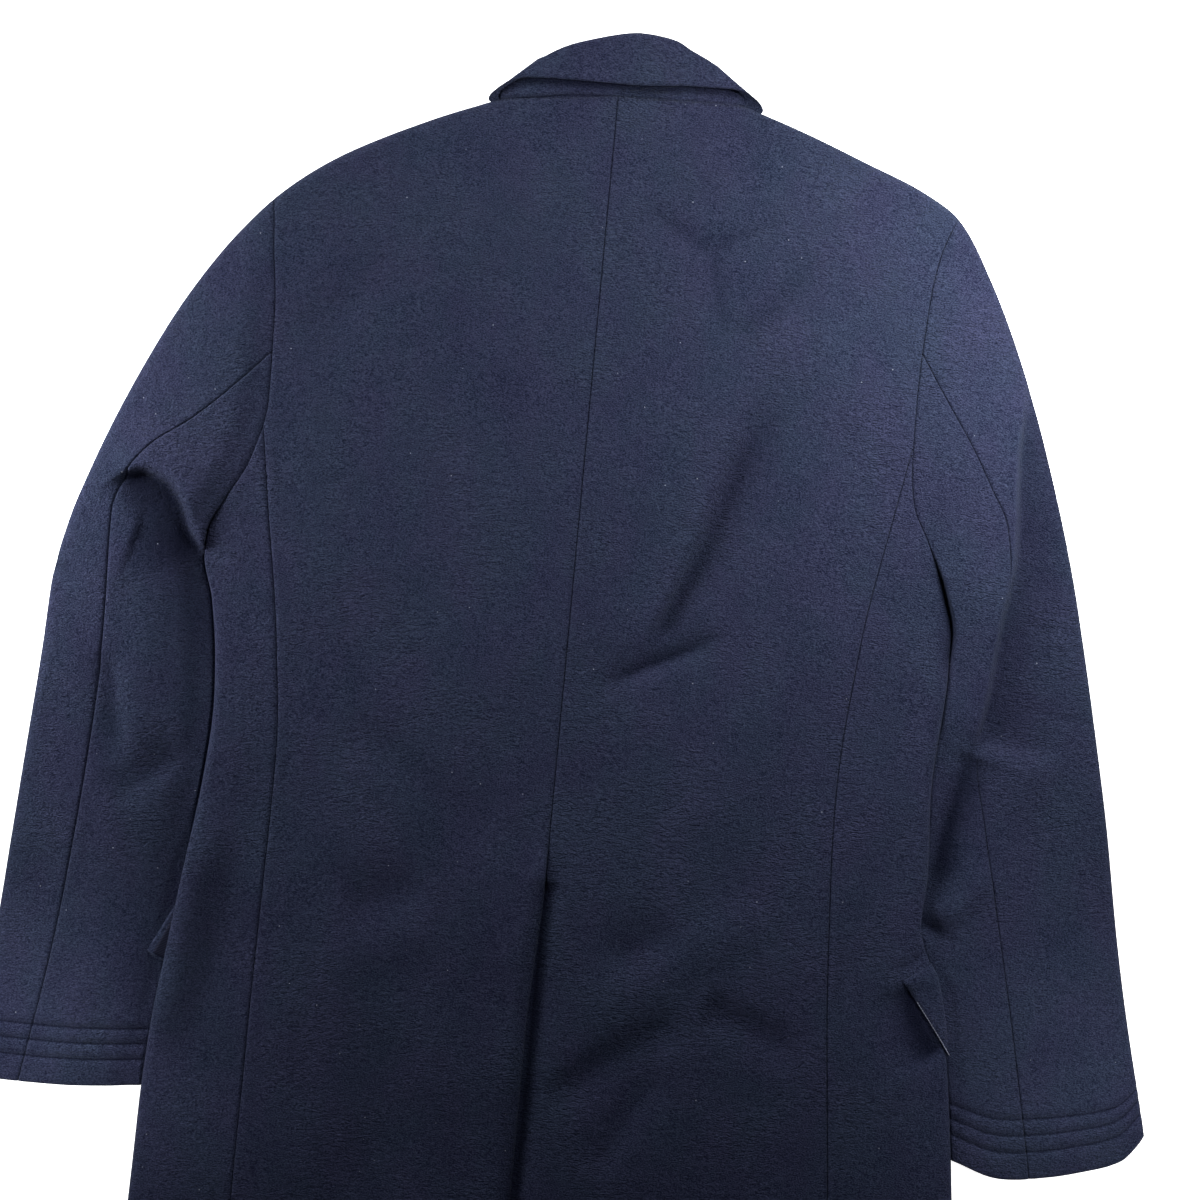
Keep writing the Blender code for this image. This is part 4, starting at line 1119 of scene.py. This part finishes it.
@dataclass
class Sleeve:
    """Upper and under sleeve of one half, with the cuff's stitched rows."""
    half: Half
    wardrobe: Wardrobe
    top_flats: int = 32
    under_flats: int = 24
    row_deep: float = 1.1       # dip of a stitched row
    row_wide: float = 3.0
    pad_high: float = 0.45      # swelling of the cloth above each row
    pad_up: float = 5.5
    pad_wide: float = 4.0
    pad_last: float = 7.0       # foot of the swelling next to the cuff's edge
    fore_drop: float = 5.0      # how far below the side seam's start the fore seam starts
    fore_grow: float = 80.0     # depth over which it moves to its full place

    def level(self, reach: Array, rows: Array) -> Array:
        """Depth of each place, the rows bending to the cuff's own line."""
        cut = self.half.cut
        outer, inner = self.outer_edge(rows)[:, None], cut.parting.at(rows)[:, None]
        share = np.clip((outer - reach) / (outer - inner), 0.0, 1.0)
        return rows[:, None] + (cut.cuff.at(share) - cut.cuff.last) * self.bending(rows)[:, None]

    def bending(self, rows: Array) -> Array:
        """Share, 0 to 1, by which a row follows the cuff's own line."""
        return ease((rows - self.half.cut.cuff.last + CUFF_BEND) / CUFF_BEND)

    def outer_edge(self, rows: Array) -> Array:
        """Reach of the sleeve's outer edge where each row, bent as it is, meets it."""
        cut = self.half.cut
        return cut.outline.at(rows + (cut.cuff.at(0.0) - cut.cuff.last) * self.bending(rows))

    def fore_seam(self, depth: Array) -> Array:
        """Fore seam of the sleeve, on its under face."""
        cut = self.half.cut
        inner, outer = cut.parting.at(depth), cut.outline.at(depth)
        grown = ease((depth - cut.side_seam.start) / self.fore_grow)
        return inner + FORE_SHARE * (outer - inner) * grown

    def gap(self, depth: Array) -> Array:
        """Gap from the parting line to the sleeve, wider by the flap beside the right flap."""
        fade, spare = 1.0, 0.3
        near = ease((depth - FLAP_SEAM + fade) / fade) * ease((FLAP_LOW + fade - depth) / fade)
        room = (2.0 * CLEAR + FLAP_WALL * flap_fill(depth) + spare) * near
        return 0.5 * SEAM + room * (self.half.cut.out > 0)

    def cuff_dip(self, rows: Array) -> Array:
        """Dip of the stitched rows round the cuff, and of its rolled edge."""
        up = self.half.cut.cuff.last - rows
        edge_deep, edge_wide = 0.9, 2.6
        dip = sum(self.row_deep * np.exp(-((up - row) / (0.5 * self.row_wide))**2) for row in CUFF_ROWS)
        pad = sum(self.pad_high * np.exp(-((up - row - self.pad_up) / self.pad_wide)**2)
                  for row in CUFF_ROWS + (self.pad_last,))
        return dip - pad + groove(up, edge_deep, edge_wide)

    def cuff_row_darkening(self, rows: Array) -> Array:
        """Darkening along the stitched rows: their own dark line, plus painted shade in their dips."""
        up = self.half.cut.cuff.last - rows
        row_darkness = 0.7
        return row_darkness * sum(foot(up - row) for row in CUFF_ROWS)

    def wrapped(self, rows: Array, seams: tuple, edge: Array, round_in: Array, drawn: Array, joined: Array,
                flats: int) -> Wrap:
        """Panel of the sleeve that wraps one of its folded edges; see Wrap for what it takes."""
        return Wrap(self.half, Zone.SLEEVE, rows, seams, edge, round_in, drawn, joined, flats, self.level,
                    self.cuff_dip(rows)[:, None], self.cuff_row_darkening(rows)[:, None],
                    self.half.cut.seam_shows(rows)[:, None])

    def add_top(self) -> bpy.types.Object:
        """Upper sleeve: from the hind seam, round the sleeve's outer edge, to the fore seam."""
        cut = self.half.cut
        rows = self.half.rows_between(cut.tip + START_GAP, cut.cuff.last)
        armhole = cut.parting.at(rows) + 0.5 * SEAM
        top_seam = np.where(rows <= cut.back_seam.start, armhole, cut.back_seam.at(rows) + 0.5 * SEAM)
        slope = cut.outline.slant(rows)
        wrap = self.wrapped(rows, (top_seam, self.fore_seam(rows) + 0.5 * SEAM), self.outer_edge(rows),
                            EDGE_ROUND * slope, slope, np.zeros(len(rows), dtype=bool), self.top_flats)
        grids, shade_and_seam_dark = wrap.grids()
        return self.wardrobe.cloth("top_sleeve_" + cut.name, grids, Held.FOLDED, ["floor"], shade_and_seam_dark=shade_and_seam_dark)

    def add_under(self) -> bpy.types.Object:
        """Under sleeve: from the hind seam, round the sleeve's inner edge, to the fore seam."""
        cut, least = self.half.cut, 0.2
        rows = self.half.rows_between(cut.back_seam.start + START_GAP, cut.cuff.last)
        below, slope = rows >= cut.underarm, cut.parting.slant(rows)
        edge = cut.parting.at(rows) + self.gap(rows)
        fore = np.maximum(self.fore_seam(rows) - 0.5 * SEAM, edge + least)
        wrap = self.wrapped(rows, (cut.back_seam.at(rows) - 0.5 * SEAM, fore), edge,
                            ARM_ROUND * self.half.parting_round(rows) * slope,
                            np.where(below, slope, 0.0), ~below, self.under_flats)
        grids, shade_and_seam_dark = wrap.grids()
        columns, fore_start = shade_and_seam_dark.shape[1], rows[rows > cut.side_seam.start + self.fore_drop][0]
        keep = wrap.keep(columns)
        keep[rows[:-1] < fore_start - 0.01, columns // 2 - 1:] = False
        return self.wardrobe.cloth("under_sleeve_" + cut.name, grids, Held.FOLDED, ["floor"], keep,
                                   shade_and_seam_dark=shade_and_seam_dark)

    def build(self) -> None:
        """Makes the two panels."""
        self.add_top()
        self.add_under()


# Collar, station by station from the left notch round the back to the right notch.
# turn is the way its face looks: 0 up, 90 outwards, 180 down. curl is how far it rolls over.
COLLAR = (
    # roll_x, roll_depth, roll_z, leaf_x, leaf_depth, leaf_z, turn, curl
    (-48, 66, 1.35, -104, 76, 1.35, 180, 60),
    (-56, 32, 1.35, -99, 42, 1.35, 180, 60),
    (-54, -14, 1.35, -82, 12, 1.35, 180, 60),
    (-59.5, -18, 5.8, -90, 10, 5.8, 90, 60),
    (-53.5, -22, 10.2, -85, 3.6, 10.2, 8, 75),
    (-43, -28, 10.8, -64, -6.8, 10.8, 3, 105),
    (-24, -34, 10.9, -34, -8, 10.9, 0, 150),
    (12, -41.6, 10.9, 10, -8.2, 10.9, 0, 170),
    (38, -39, 10.9, 50, -11, 10.9, 0, 150),
    (51, -34, 10.8, 79, -11.6, 10.8, 3, 105),
    (63, -28.5, 10.2, 95, -6.5, 10.2, 8, 75),
    (69, -24.5, 5.8, 102, 1, 5.8, 90, 60),
    (62, -21, 1.35, 94, 4, 1.35, 180, 60),
    (68, 26, 1.35, 112, 34, 1.35, 180, 60),
    (63, 56, 1.35, 117, 66, 1.35, 180, 60),
)

# Edge of the collar's leaf, seen from above, as (across, depth)
LEAF_EDGE = Line(((-89, 7.6), (-79.5, -0.4), (-67, -7.0), (-41.5, -7.7), (-1, -8.4), (15, -7.7), (57, -11.6),
                  (82, -11.8), (92, -7.8), (99, -2.0)))

# Neck seam, where the stand of the collar meets the back, as (across, depth)
NECK_SEAM = Line(((-84, 9.0), (-60, 5.5), (-30, 1.2), (0, 0.0), (35, -0.3), (60, -1.2), (90, -2.2)))


@dataclass
class Collar:
    """Turned-down collar: the fall that shows, and the stand under it."""
    wardrobe: Wardrobe
    centre: int = 7             # station at the nape
    roll: float = 2.5           # radius of the roll at the middle of the cloth
    thick: float = 3.0
    stand_ends: tuple = (-82.0, 91.0)
    stand_wide: float = 17.0    # how far up under the leaf the stand goes
    stand_tuck: float = 5.0     # how far down under the back it goes
    stand_low: float = 6.2      # its height there
    stand_height: float = 8.8
    stand_drop: float = 3.0     # how much lower it lies at the shoulders
    stations: int = 16          # steps between two rows of the table
    leaf_steps: int = 14
    roll_steps: int = 9

    def frame(self, station: Array) -> tuple[Array, ...]:
        """Roll, leaf, direction from leaf to roll, outward face and curl at stations."""
        value = Line(tuple((k,) + row for k, row in enumerate(COLLAR))).at(station)
        roll, leaf = value[..., 0:3], value[..., 3:6]
        up = roll - leaf
        up = up / np.linalg.norm(up, axis=-1, keepdims=True)
        hand = np.where(station < self.centre, 1.0, -1.0)
        level = np.stack([hand * up[..., 1], -hand * up[..., 0], np.zeros_like(hand)], axis=-1)
        level = level / np.linalg.norm(level, axis=-1, keepdims=True)
        turn = np.radians(value[..., 6])[..., None]
        face = np.cos(turn) * np.array([0.0, 0.0, 1.0]) + np.sin(turn) * level
        return roll, leaf, up, face, np.radians(value[..., 7])

    def add_fall(self) -> bpy.types.Object:
        """Leaf of the collar: flat from its soft round edge to the roll, then over in an arc."""
        count = self.stations * (len(COLLAR) - 1) + 1
        station = np.linspace(0.0, len(COLLAR) - 1.0, count)
        roll, leaf, up, face, curl = self.frame(station)
        share = np.linspace(0.0, 1.0, self.leaf_steps)[:-1]**1.8
        turned = np.linspace(0.0, 1.0, self.roll_steps)
        length = np.linalg.norm(roll - leaf, axis=-1)
        grids = []
        for side in (0.5, -0.5):
            strip = []
            for s in share:
                nose = quarter(s * length, np.full(count, 0.5 * self.thick), 0.0)
                offset = side * self.thick * np.maximum(nose, 0.1)
                strip.append(leaf + (roll - leaf) * s + face * offset[:, None])
            arm = self.roll + side * self.thick
            for s in turned:
                angle = (curl * s)[:, None]
                strip.append(roll + arm * np.sin(angle) * up + (arm * np.cos(angle) - self.roll) * face)
            grids.append(np.stack(strip, axis=1))
        return self.wardrobe.cloth("collar_fall", grids, Held.FOLDED, ["collar_stand_cloth"])

    def add_stand(self) -> bpy.types.Object:
        """Stand: a strip from the neck seam up under the leaf, shoulder to shoulder."""
        columns, rows = 90, 30
        across = np.linspace(*self.stand_ends, columns)[:, None]
        share = np.linspace(0.0, 1.0, rows)[None, :]
        near_end = np.abs(across / self.stand_ends[1])
        narrowing, climb, climb_start = 0.8, 3.0, 0.6
        wide = self.stand_wide * (1.0 - narrowing * near_end**4)
        up = (wide + self.stand_tuck) * share - self.stand_tuck
        depth = NECK_SEAM.at(across) - up
        risen = ease((up + climb_start) / climb)
        height = (self.stand_low + (self.stand_height - self.stand_low) * risen
                  - self.stand_drop * near_end**6)
        outer = np.stack(np.broadcast_arrays(across, depth, height), axis=-1)
        inner = outer - np.array([0.0, 0.0, WALL])
        # painted shadow of the collar's leaf on the stand, darkest at the leaf's edge
        dark, fade = 0.9, 9.0
        shade = dark * (1.0 - ease((depth - LEAF_EDGE.at(across)) / fade))
        return self.wardrobe.cloth("collar_stand", (outer, inner), Held.FOLDED, ["back_left_cloth"],
                                   shade_and_seam_dark=np.maximum(foot(up), shade))

    def add_lapel(self, half: Half) -> bpy.types.Object:
        """Turned-back lapel, flat under the front: rows from the roll line to its outer edge."""
        notch, tail, narrowest = 84.0, 308.0, 6.0
        rows = np.linspace(notch, tail, 40)
        inner = half.cut.roll.at(rows)
        outer = np.maximum(half.cut.lapel.at(rows), inner + narrowest)
        reach = inner[:, None] + (outer - inner)[:, None] * np.linspace(0.0, 1.0, 20)[None, :]
        depth = np.broadcast_to(rows[:, None], reach.shape)
        faces = [np.stack([half.cut.out * reach, depth, np.full(reach.shape, z)], axis=-1)
                 for z in (0.0, WALL)]
        return self.wardrobe.cloth("lapel_" + half.cut.name, faces, Held.FOLDED, ["floor"])

    def build(self, halves: Sequence[Half]) -> None:
        """Makes fall, stand and lapels."""
        self.add_fall()
        self.add_stand()
        for half in halves:
            self.add_lapel(half)


# Left flap's corners as (reach, depth): rear end at its seam and lower edge, then the front end
LEFT_FLAP = np.array([(249.0, 577.0), (273.0, 625.0), (130.0, 570.0), (138.0, 633.0)])


@dataclass
class PocketFlaps:
    """The two pocket flaps: the left one lies out on its sleeve, the right one turns the edge."""
    left: Half
    right: Half
    wardrobe: Wardrobe

    def add_left(self) -> None:
        """Left flap with its satin side up, and a wool border round the satin."""
        rear_part, front_part = np.linspace(0.0, 0.3, 25), np.linspace(0.33, 1.0, 20)
        q, p = np.meshgrid(np.linspace(0.0, 1.0, 26), np.concatenate([rear_part, front_part]), indexing="ij")
        seam = LEFT_FLAP[0] + (LEFT_FLAP[2] - LEFT_FLAP[0]) * p[..., None]
        lower = LEFT_FLAP[1] + (LEFT_FLAP[3] - LEFT_FLAP[1]) * p[..., None]
        place = seam + (lower - seam) * q[..., None]
        belly, turn = 7.0, 0.045
        reach, depth = place[..., 0], place[..., 1] + belly * q * (1.0 - np.exp(-p / turn))
        under = self.left.lift(np.minimum(reach, self.left.cut.parting.at(depth)), depth)
        face = under - 2.0 * CLEAR - LINING_WALL - LINING_GAP
        faces = [np.stack([-reach, depth, z], axis=-1) for z in (face, face - FLAP_WALL)]
        self.wardrobe.cloth("flap_left", faces, Held.LAID, ["under_sleeve_left_cloth"])
        within = slice(2, -1), slice(2, -6)
        satin = [np.stack([-reach, depth, face + LINING_GAP + z], axis=-1)[within]
                 for z in (LINING_WALL, 0.0)]
        self.wardrobe.cloth("flap_lining_left", satin, Held.LAID, ["flap_left_cloth"], finish="satin")

    def moved_out(self, face: Face, reach: Array, depth: Array, out: Array, inward: Array) -> Array:
        """Height of the right edge's own profile, moved out from the cloth by a distance."""
        half = self.right
        top, low = half.top_height(Zone.BODY, reach, depth), half.lift(reach, depth)
        middle = 0.5 * (top + low)
        rise = (top - middle + out) * quarter(inward, half.parting_round(depth) + out, 0.0)
        return middle + rise if face is Face.TOP else middle - rise

    def add_right(self) -> None:
        """Right flap: the side body's own places moved out, round the edge and under it."""
        q = np.linspace(0.0, 1.0, 31)[:, None]
        top_share = np.concatenate([np.linspace(1.0, 0.1, 14), [0.06, 0.02]])[None, :]
        under_in = np.array([[0.15, 0.6, 1.3, 2.2, 4.0, 7.5, 13.0, 20.0, 35.0, 50.0, 70.0, 90.0, 130.0]])
        tip_rear, corner_drop, seam_rise, low_rise = 0.8, 14.0, 0.12, 0.1
        rear = FLAP_REAR * (1.0 - q) + tip_rear * q
        top_depth = (FLAP_SEAM + corner_drop * top_share) * (1.0 - q) + FLAP_LOW * q
        under_depth = (FLAP_SEAM - seam_rise * under_in) * (1.0 - q) + (FLAP_LOW - low_rise * under_in) * q
        soft, raised, thinnest = 2.6, 1.5, 0.15
        fill = flap_fill(FLAP_SEAM * (1.0 - q) + FLAP_LOW * q)
        from_rear = quarter(rear * (1.0 - top_share), np.full_like(rear, soft), 0.0)
        top_fill, lifted = np.maximum(fill * from_rear, thinnest), raised * q * top_share**2
        grids = []
        for wall in (FLAP_WALL, 0.0):
            blocks = []
            for face, inward, depth, thick, off in ((Face.TOP, rear * top_share, top_depth, top_fill, lifted),
                                                    (Face.UNDER, under_in, under_depth, fill, 0.0)):
                out = 2.0 * CLEAR + wall * thick + off
                inward = np.broadcast_to(inward, depth.shape)
                slope = self.right.cut.parting.slant(depth)
                reach = self.right.cut.parting.at(depth) - 0.5 * SEAM - (inward - out) * slope
                height = self.moved_out(face, reach, depth, out, inward)
                blocks.append(np.stack([reach, depth, height], axis=-1))
            grids.append(np.concatenate(blocks, axis=1))
        self.wardrobe.cloth("flap_right", grids, Held.FOLDED, ["side_right_cloth"])
        self.add_stitches(grids[0][:, 0])

    def add_stitches(self, rear: Array) -> None:
        """Pick stitches along the lower part of the right flap's rear edge: small upright boxes.

        Args:
            rear: places along the edge, from the seam down.
        """
        first, last, count = 0.30, 0.97, 22
        half_size, off_edge = (0.75, 0.28, 0.22), (0.35, 0.0, 0.1)
        stop = np.linspace(0.0, 1.0, len(rear))
        share = np.linspace(first, last, count)
        middle = np.stack([np.interp(share, stop, rear[:, axis]) for axis in range(3)], axis=-1)
        ahead = np.gradient(middle, axis=0)
        ahead /= np.linalg.norm(ahead, axis=1, keepdims=True)
        side = np.cross(ahead, (0.0, 0.0, 1.0))
        side /= np.linalg.norm(side, axis=1, keepdims=True)
        axes = np.stack([ahead, side, np.cross(side, ahead)], axis=1)
        signs = np.array([(x, y, z) for x in (-1, 1) for y in (-1, 1) for z in (-1, 1)]) * half_size
        places = middle[:, None, :] + np.einsum("kc,ncd->nkd", signs, axes) + off_edge
        sides = np.array([(0, 1, 3, 2), (4, 6, 7, 5), (0, 4, 5, 1), (2, 3, 7, 6), (0, 2, 6, 4), (1, 5, 7, 3)])
        faces = (8 * np.arange(count)[:, None, None] + sides[None, :, :]).reshape(-1, 4)
        piece = make_mesh("flap_right_stitches", to_world(places.reshape(-1, 3)), faces, smooth=False)
        self.wardrobe.dress(piece, "thread", "melton")

    def build(self) -> None:
        """Makes both flaps."""
        self.add_left()
        self.add_right()


@dataclass(frozen=True)
class Lamp:
    """Square soft light that stands at a place and is turned to what it aims at."""
    name: str
    place: tuple            # metres
    aim: tuple
    size: float             # length of its sides, metres
    power: float            # watts
    spread: float = 180.0   # angle of its cone, degrees

    def add(self) -> None:
        """Puts the lamp into the scene."""
        lamp = bpy.data.lights.new(self.name, "AREA")
        lamp.size = self.size
        lamp.energy = self.power
        lamp.spread = np.radians(self.spread)
        node = bpy.data.objects.new(self.name, lamp)
        way = np.array(self.aim, dtype=float) - np.array(self.place, dtype=float)
        node.location = self.place
        node.rotation_euler = Vector(way).to_track_quat("-Z", "Y").to_euler()
        bpy.context.scene.collection.objects.link(node)


LAMPS = (
    Lamp("key", (0.44, 0.47, 0.38), (0.34, 0.38, 0.0), 0.22, 8.0),
    Lamp("collar side", (-0.24, 0.85, 0.26), (-0.06, 0.25, 0.0), 0.24, 2.6),
    Lamp("left", (-0.80, 0.27, 0.19), (-0.36, 0.19, 0.0), 0.20, 5.3, 120.0),
    Lamp("left cuff", (-0.42, -0.22, 0.25), (-0.33, -0.22, 0.0), 0.12, 0.12, 64.0),
    Lamp("right cuff", (0.49, -0.17, 0.25), (0.385, -0.17, 0.0), 0.12, 0.10, 64.0),
)


@dataclass
class Studio:
    """Pale floor, soft lights round the coat, and a camera straight above."""
    centre: tuple = (0.020, 0.128)      # place on the floor under the camera
    frame_width: float = 0.840          # width of the picture at the cloth's height
    cloth_height: float = 0.008
    field_of_view: float = 40.0
    roll: float = 5.3                   # how far the coat leans to the right in the picture
    sensor: float = 36.0                # millimetres
    floor_size: float = 6.0
    floor_drop: float = 0.0004          # how far the floor lies below the coat
    floor_tones: tuple = (0.86, 0.90)
    floor_clouds: float = 400.0         # millimetres
    wall_tone: tuple = (0.92, 0.92, 0.92)
    ambient: tuple = (0.30, 0.42, 1.0)
    ambient_power: float = 0.008

    def add_floor(self) -> None:
        """Level floor, a hair below the coat, that is almost white."""
        grid = np.linspace(-0.5, 0.5, 3) * self.floor_size
        x, y = np.meshgrid(grid, grid, indexing="ij")
        points = np.stack([x, y, np.full(x.shape, -self.floor_drop)], axis=-1).reshape(-1, 3)
        floor = make_mesh("floor", points, cell_corners(3, 3).reshape(-1, 4)[:, ::-1])
        if floor.data.polygons[0].normal.z < 0:
            floor.data.flip_normals()
        n = Nodes("floor")
        clouds = n.noise(n.add("TexCoord").outputs["Object"], self.floor_clouds, 2.0)
        tones = [color((tone, tone, tone)) for tone in self.floor_tones]
        floor.data.materials.append(n.surface({
            "Base Color": n.mix(clouds, *tones), "Roughness": 0.9,
            "Emission Color": color((1.0, 1.0, 1.0)), "Emission Strength": 1.0}))

    def add_camera(self) -> None:
        """Camera that looks straight down, as far up as its field of view needs."""
        lens = bpy.data.cameras.new("camera")
        lens.sensor_width = self.sensor
        half_angle = np.radians(0.5 * self.field_of_view)
        lens.lens = 0.5 * lens.sensor_width / np.tan(half_angle)
        node = bpy.data.objects.new("camera", lens)
        distance = 0.5 * self.frame_width / np.tan(half_angle)
        node.location = (*self.centre, self.cloth_height + distance)
        node.rotation_euler = (0.0, 0.0, np.radians(self.roll))
        bpy.context.scene.collection.objects.link(node)
        bpy.context.scene.camera = node

    def surroundings(self) -> bpy.types.World:
        """Dim blue light from all sides, behind a pale wall that only the camera sees."""
        world = bpy.data.worlds.new("surroundings")
        world.use_nodes = True
        nodes, links = world.node_tree.nodes, world.node_tree.links
        dim, wall = nodes["Background"], nodes.new("ShaderNodeBackground")
        dim.inputs["Color"].default_value = color(self.ambient)
        dim.inputs["Strength"].default_value = self.ambient_power
        wall.inputs["Color"].default_value = color(self.wall_tone)
        seen, mixed = nodes.new("ShaderNodeLightPath"), nodes.new("ShaderNodeMixShader")
        links.new(seen.outputs["Is Camera Ray"], mixed.inputs[0])
        links.new(dim.outputs[0], mixed.inputs[1])
        links.new(wall.outputs[0], mixed.inputs[2])
        links.new(mixed.outputs[0], nodes["World Output"].inputs["Surface"])
        return world

    def build(self) -> None:
        """Makes floor, lights, surroundings and camera."""
        scene = bpy.context.scene
        self.add_floor()
        for lamp in LAMPS:
            lamp.add()
        scene.world = self.surroundings()
        scene.view_settings.view_transform = "Standard"
        self.add_camera()


def main() -> None:
    """Builds the studio and the coat, sub-assembly by sub-assembly."""
    logging.basicConfig(level=logging.INFO, format="%(name)s %(message)s")
    Studio().build()
    wardrobe = Wardrobe()
    halves = Half(LEFT_CUT), Half(RIGHT_CUT)
    for half in halves:
        Body(half, wardrobe).build()
        Sleeve(half, wardrobe).build()
    Collar(wardrobe).build(halves)
    PocketFlaps(*halves, wardrobe).build()


if __name__ == "__main__":
    main()
